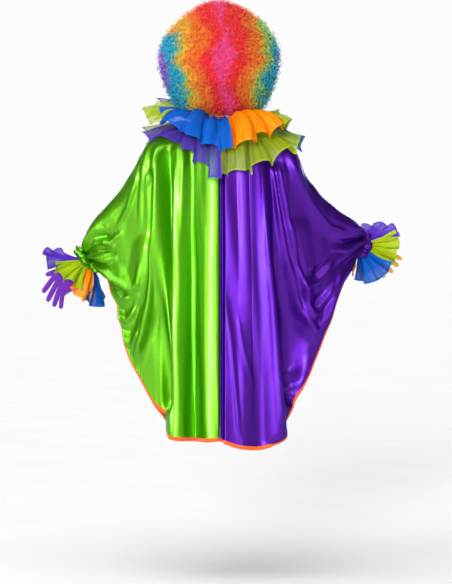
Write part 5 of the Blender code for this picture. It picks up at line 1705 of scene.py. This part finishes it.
def curl_roots(dice):
    """Where the ringlets stand and which way each looks out."""
    steps = np.arange(CURLS * 2) + 0.5
    height = 1 - 2 * steps / len(steps)
    polar, azimuth = np.degrees(np.arccos(height)), (steps * GOLDEN_ANGLE) % 360
    rim = FOREHEAD + (NAPE - FOREHEAD) * face_share(azimuth)
    grown = polar < rim + PAST_RIM
    roots, outward = wig_points(azimuth[grown], (polar / rim)[grown], WIG_CENTRE,
                                WIG_HALF - CURL_ROOT_DEPTH - ROOTS_UNDER, NAPE)
    azimuth = (np.arange(FACE_CURLS) * GOLDEN_ANGLE) % 360
    way_in = dice.uniform(0, WALL_SHARE, (FACE_CURLS, 1))
    on_wall = np.abs(180 - azimuth) < FACE_WALL_HALF_ANGLE
    outer, _ = wig_points(azimuth[on_wall], 1.0, WIG_CENTRE, WIG_HALF - CURL_ROOT_DEPTH, NAPE)
    inner, _ = wig_points(azimuth[on_wall], 1.0, HEAD_CENTRE, HEAD_HALF, HEAD_NAPE)
    middle_line = HEAD_CENTRE * (1, 0, 1) + [0, 0.16, 0]
    wall_outward = unit(unit((middle_line - outer) * (1, 0, 1)) + [0, 0.8, 0])
    roots = np.concatenate([roots, outer + (inner - outer) * way_in[on_wall]])
    roots = roots + dice.normal(0, ROOT_SCATTER, roots.shape)
    return roots, np.concatenate([unit(outward / WIG_HALF), wall_outward])


def plant(name, roots, outward, colours, dice):
    """Copies ringlets on to the roots, each turned its own way, into one mesh."""
    all_points, all_faces, all_colours, all_shares, count = [], [], [], [], 0
    for root, out, colour in zip(roots, outward, colours):
        points, faces, share = spun[dice.integers(len(spun))]
        lean = Vector(unit(out + dice.normal(0, LEAN_SCATTER, 3))).to_track_quat("Z", "Y").to_matrix()
        turn = lean @ Matrix.Rotation(dice.uniform(0, FULL_TURN), 3, "Z")
        all_points.append(points * dice.uniform(0.8, 1.2) @ np.array(turn).T + root)
        all_faces.append(faces + count)
        all_colours.append(np.tile(colour, (len(points), 1)))
        all_shares.append(share)
        count += len(points)
    mesh = bpy.data.meshes.new(name)
    mesh.from_pydata(np.concatenate(all_points).tolist(), [], np.concatenate(all_faces).tolist())
    mesh.materials.append(wig_hair)
    mesh.shade_smooth()
    paint_strands(mesh, np.concatenate(all_colours), np.concatenate(all_shares))
    return add_object(name, mesh)


dice = np.random.default_rng(CURL_SEED)
roots, outward = curl_roots(dice)
colours = dye_at(roots, dice)
from_middle = roots[:, 0]
wig_curls = []
for name, chosen in (("wig_curls_left", from_middle < -PIECE_EDGE),
                     ("wig_curls_middle", np.abs(from_middle) <= PIECE_EDGE),
                     ("wig_curls_right", from_middle > PIECE_EDGE)):
    wig_curls.append(plant(name, roots[chosen], outward[chosen], colours[chosen], dice))
    print(name, "has", int(chosen.sum()), "ringlets")

# %% [markdown]
# ## Join the pieces to the model
#
# Each piece rides on the costume's one body and stands for the solid it was laid on, which is hidden. The
# sizes the sheets were cut to before they were sewn come from the pattern and not from the mesh, and are
# listed here.

# %% Ride and replace
def settle(piece, slot, *nodes):
    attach(piece, "root")
    if nodes:
        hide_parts(*nodes)


PANEL_CUTS = {  # width, length and area
    "back_left": (0.86, 1.04, 0.52), "back_right": (0.88, 1.06, 0.53),
    "front_left": (0.78, 1.02, 0.44), "front_right": (0.80, 1.02, 0.45),
}
RUFFLE_WAVE_CUT = {UPPER: 0.066, LOWER: 0.086}  # metres of net for one wave
CUFF_WAVE_CUT = 0.060
for name, (width, length, area) in PANEL_CUTS.items():
    settle(satin_pieces[name], SATINS[PANELS[name].side][1], name)
    settle(tape_pieces[name], "orange_binding", "binding_" + name)
settle(neckband, "orange_binding", "neckband")
for side, label in SIDE_NAMES.items():
    settle(bands[side], SATINS[side][1], "wrist_band_" + label)
    settle(gloves[side], "purple_glove" if side == LEFT else "yellow_glove", "glove_" + label)
for ruffle, sectors in ((UPPER, UPPER_RUFFLE), (LOWER, LOWER_RUFFLE)):
    for sector in sectors:
        piece, width = net_pieces[sector.name], RUFFLE_WAVE_CUT[ruffle] * sector.waves
        settle(piece, sector.colour, sector.name)
for side, label in SIDE_NAMES.items():
    for sector in CUFF_SECTORS[side]:
        name = f"cuff_{label}_{sector.name}"
        settle(net_pieces[name], sector.colour, name)
        CUFF_WAVE_CUT * sector.waves
settle(wig_cap, "wig_curls", "wig")
for piece in wig_curls:
    settle(piece, "wig_curls")
print("all pieces ride on the costume's body")

# %% [markdown]
# ## The stage
#
# A plain pale floor lies where the wearer's shoes stood, so the costume hangs at its true height. It is
# wide, and its colour is painted darker towards the distance, except straight beyond the costume: painted
# shade, as if the light fell off there, so that it meets the grey of the backdrop without a line. The
# backdrop is the world's own light: dim, and brighter near the level, so that the satin has something to
# throw back.

# %% Floor and backdrop
FLOOR_LEVEL, FLOOR_HALF = -1.462, 400
FLOOR_NEAR, FLOOR_FAR = 5.0, 60.0  # metres between which the floor darkens
AHEAD_LOW, AHEAD_HIGH = 0.20, 0.92  # how squarely a place lies to the front, where it stays pale
STEEP_LOW, STEEP_HIGH = 0.17, 0.40  # how steeply one looks up or down where the backdrop is dim

pale, start = new_finish("pale floor", roughness=1.0, specular_ior_level=0.0)
place = solid_map(start)
east, north, _ = place.parts()
away = east.sum("SQRT", east * east + north * north)
# painted shade: the floor's colour turns grey far off, except straight beyond the costume, as where the
# light falls off
painted_falloff = away.rise(FLOOR_NEAR, FLOOR_FAR) * (1 - (north / away).rise(AHEAD_LOW, AHEAD_HIGH))
feed(pale, start, (painted_falloff * 0.9 + place.noise(3.0, 2.0) * 0.1).blend((0.93, 0.93, 0.93), (0.38, 0.38, 0.38)))
bm = bmesh.new()
bmesh.ops.create_grid(bm, x_segments=1, y_segments=1, size=FLOOR_HALF)
bmesh.ops.translate(bm, verts=bm.verts, vec=(0, 0, FLOOR_LEVEL))
floor = finish_piece("floor", bm, pale)

world = bpy.data.worlds.new("soft studio")
bpy.context.scene.world = world
world.use_nodes = True
_, ahead, up = Wire(world.node_tree).make("TexCoord", outlet="Generated").parts()
steep = up.sum("ABSOLUTE", up).rise(STEEP_LOW, STEEP_HIGH)
glow = 0.14 + (ahead.rise(AHEAD_LOW, AHEAD_HIGH) * 0.55 + 0.28) * (1 - steep)
tone = glow.blend((0.0, 0.0, 0.0), (1.0, 1.0, 1.0))
world.node_tree.links.new(tone.socket, world.node_tree.nodes["Background"].inputs["Color"])
print("the floor is", FLOOR_LEVEL, "m below the neckline")

# %% [markdown]
# ## Lights
#
# Satin shows its folds only where the light comes from one side. A broad sun from behind the camera is the
# key, and a level one from the front and a wide one from overhead draw bright lines along the ridges. A
# weak soft lamp fills the left. Suns are used instead of nearer lamps because they light the wide floor
# evenly.

# %% Four lights
def hang_lamp(name, kind, place, aim, strength):
    """A lamp that shines from its place towards the aim."""
    lamp = bpy.data.lights.new(name, kind)
    lamp.energy = strength
    made = add_object(name, lamp)
    made.location = place
    made.rotation_euler = (Vector(aim) - Vector(place)).to_track_quat("-Z", "Y").to_euler()
    return lamp


def sun(name, aim, strength, spread):
    hang_lamp(name, "SUN", (0, 0, 0), aim, strength).angle = math.radians(spread)


sun("key", (1.6, 7.0, -1.6), 2.55, 20)
fill = hang_lamp("fill", "AREA", (-5.0, -4.6, 0.8), (0, 0, -0.5), 28)
fill.shape = "RECTANGLE"
fill.size, fill.size_y = 0.9, 3.4
sun("front", (-0.5, -7.0, -0.7), 1.5, 24)
sun("overhead", (0.35, 0.5, -1.6), 2.2, 60)
bpy.context.scene.view_settings.view_transform = "Standard"
print(len(bpy.data.lights), "lights")

# %% [markdown]
# ## The camera
#
# The camera looks at the back of the costume from five and a half metres, level with its middle. Through a
# long lens from so far away there is nearly no perspective, as in a catalogue. The lens follows from the
# picture's height and how much of the costume one pixel covers.

# %% Camera
IMAGE_HIGH = 584  # pixels
METRES_PER_PIXEL = 0.00322
CAMERA_AWAY, COSTUME_AWAY = 5.6, 5.52  # from the camera to the origin, and to the cloth of the back
SENSOR_WIDTH = 36
camera_data = bpy.data.cameras.new("camera")
camera = add_object("camera", camera_data)
camera_data.sensor_width = SENSOR_WIDTH
camera_data.lens = SENSOR_WIDTH * COSTUME_AWAY / (IMAGE_HIGH * METRES_PER_PIXEL)
camera.location = (0.019, -CAMERA_AWAY, -0.540)
camera.rotation_euler = (math.radians(90), 0, 0)
bpy.context.scene.camera = camera
print("lens", round(camera_data.lens), "mm")
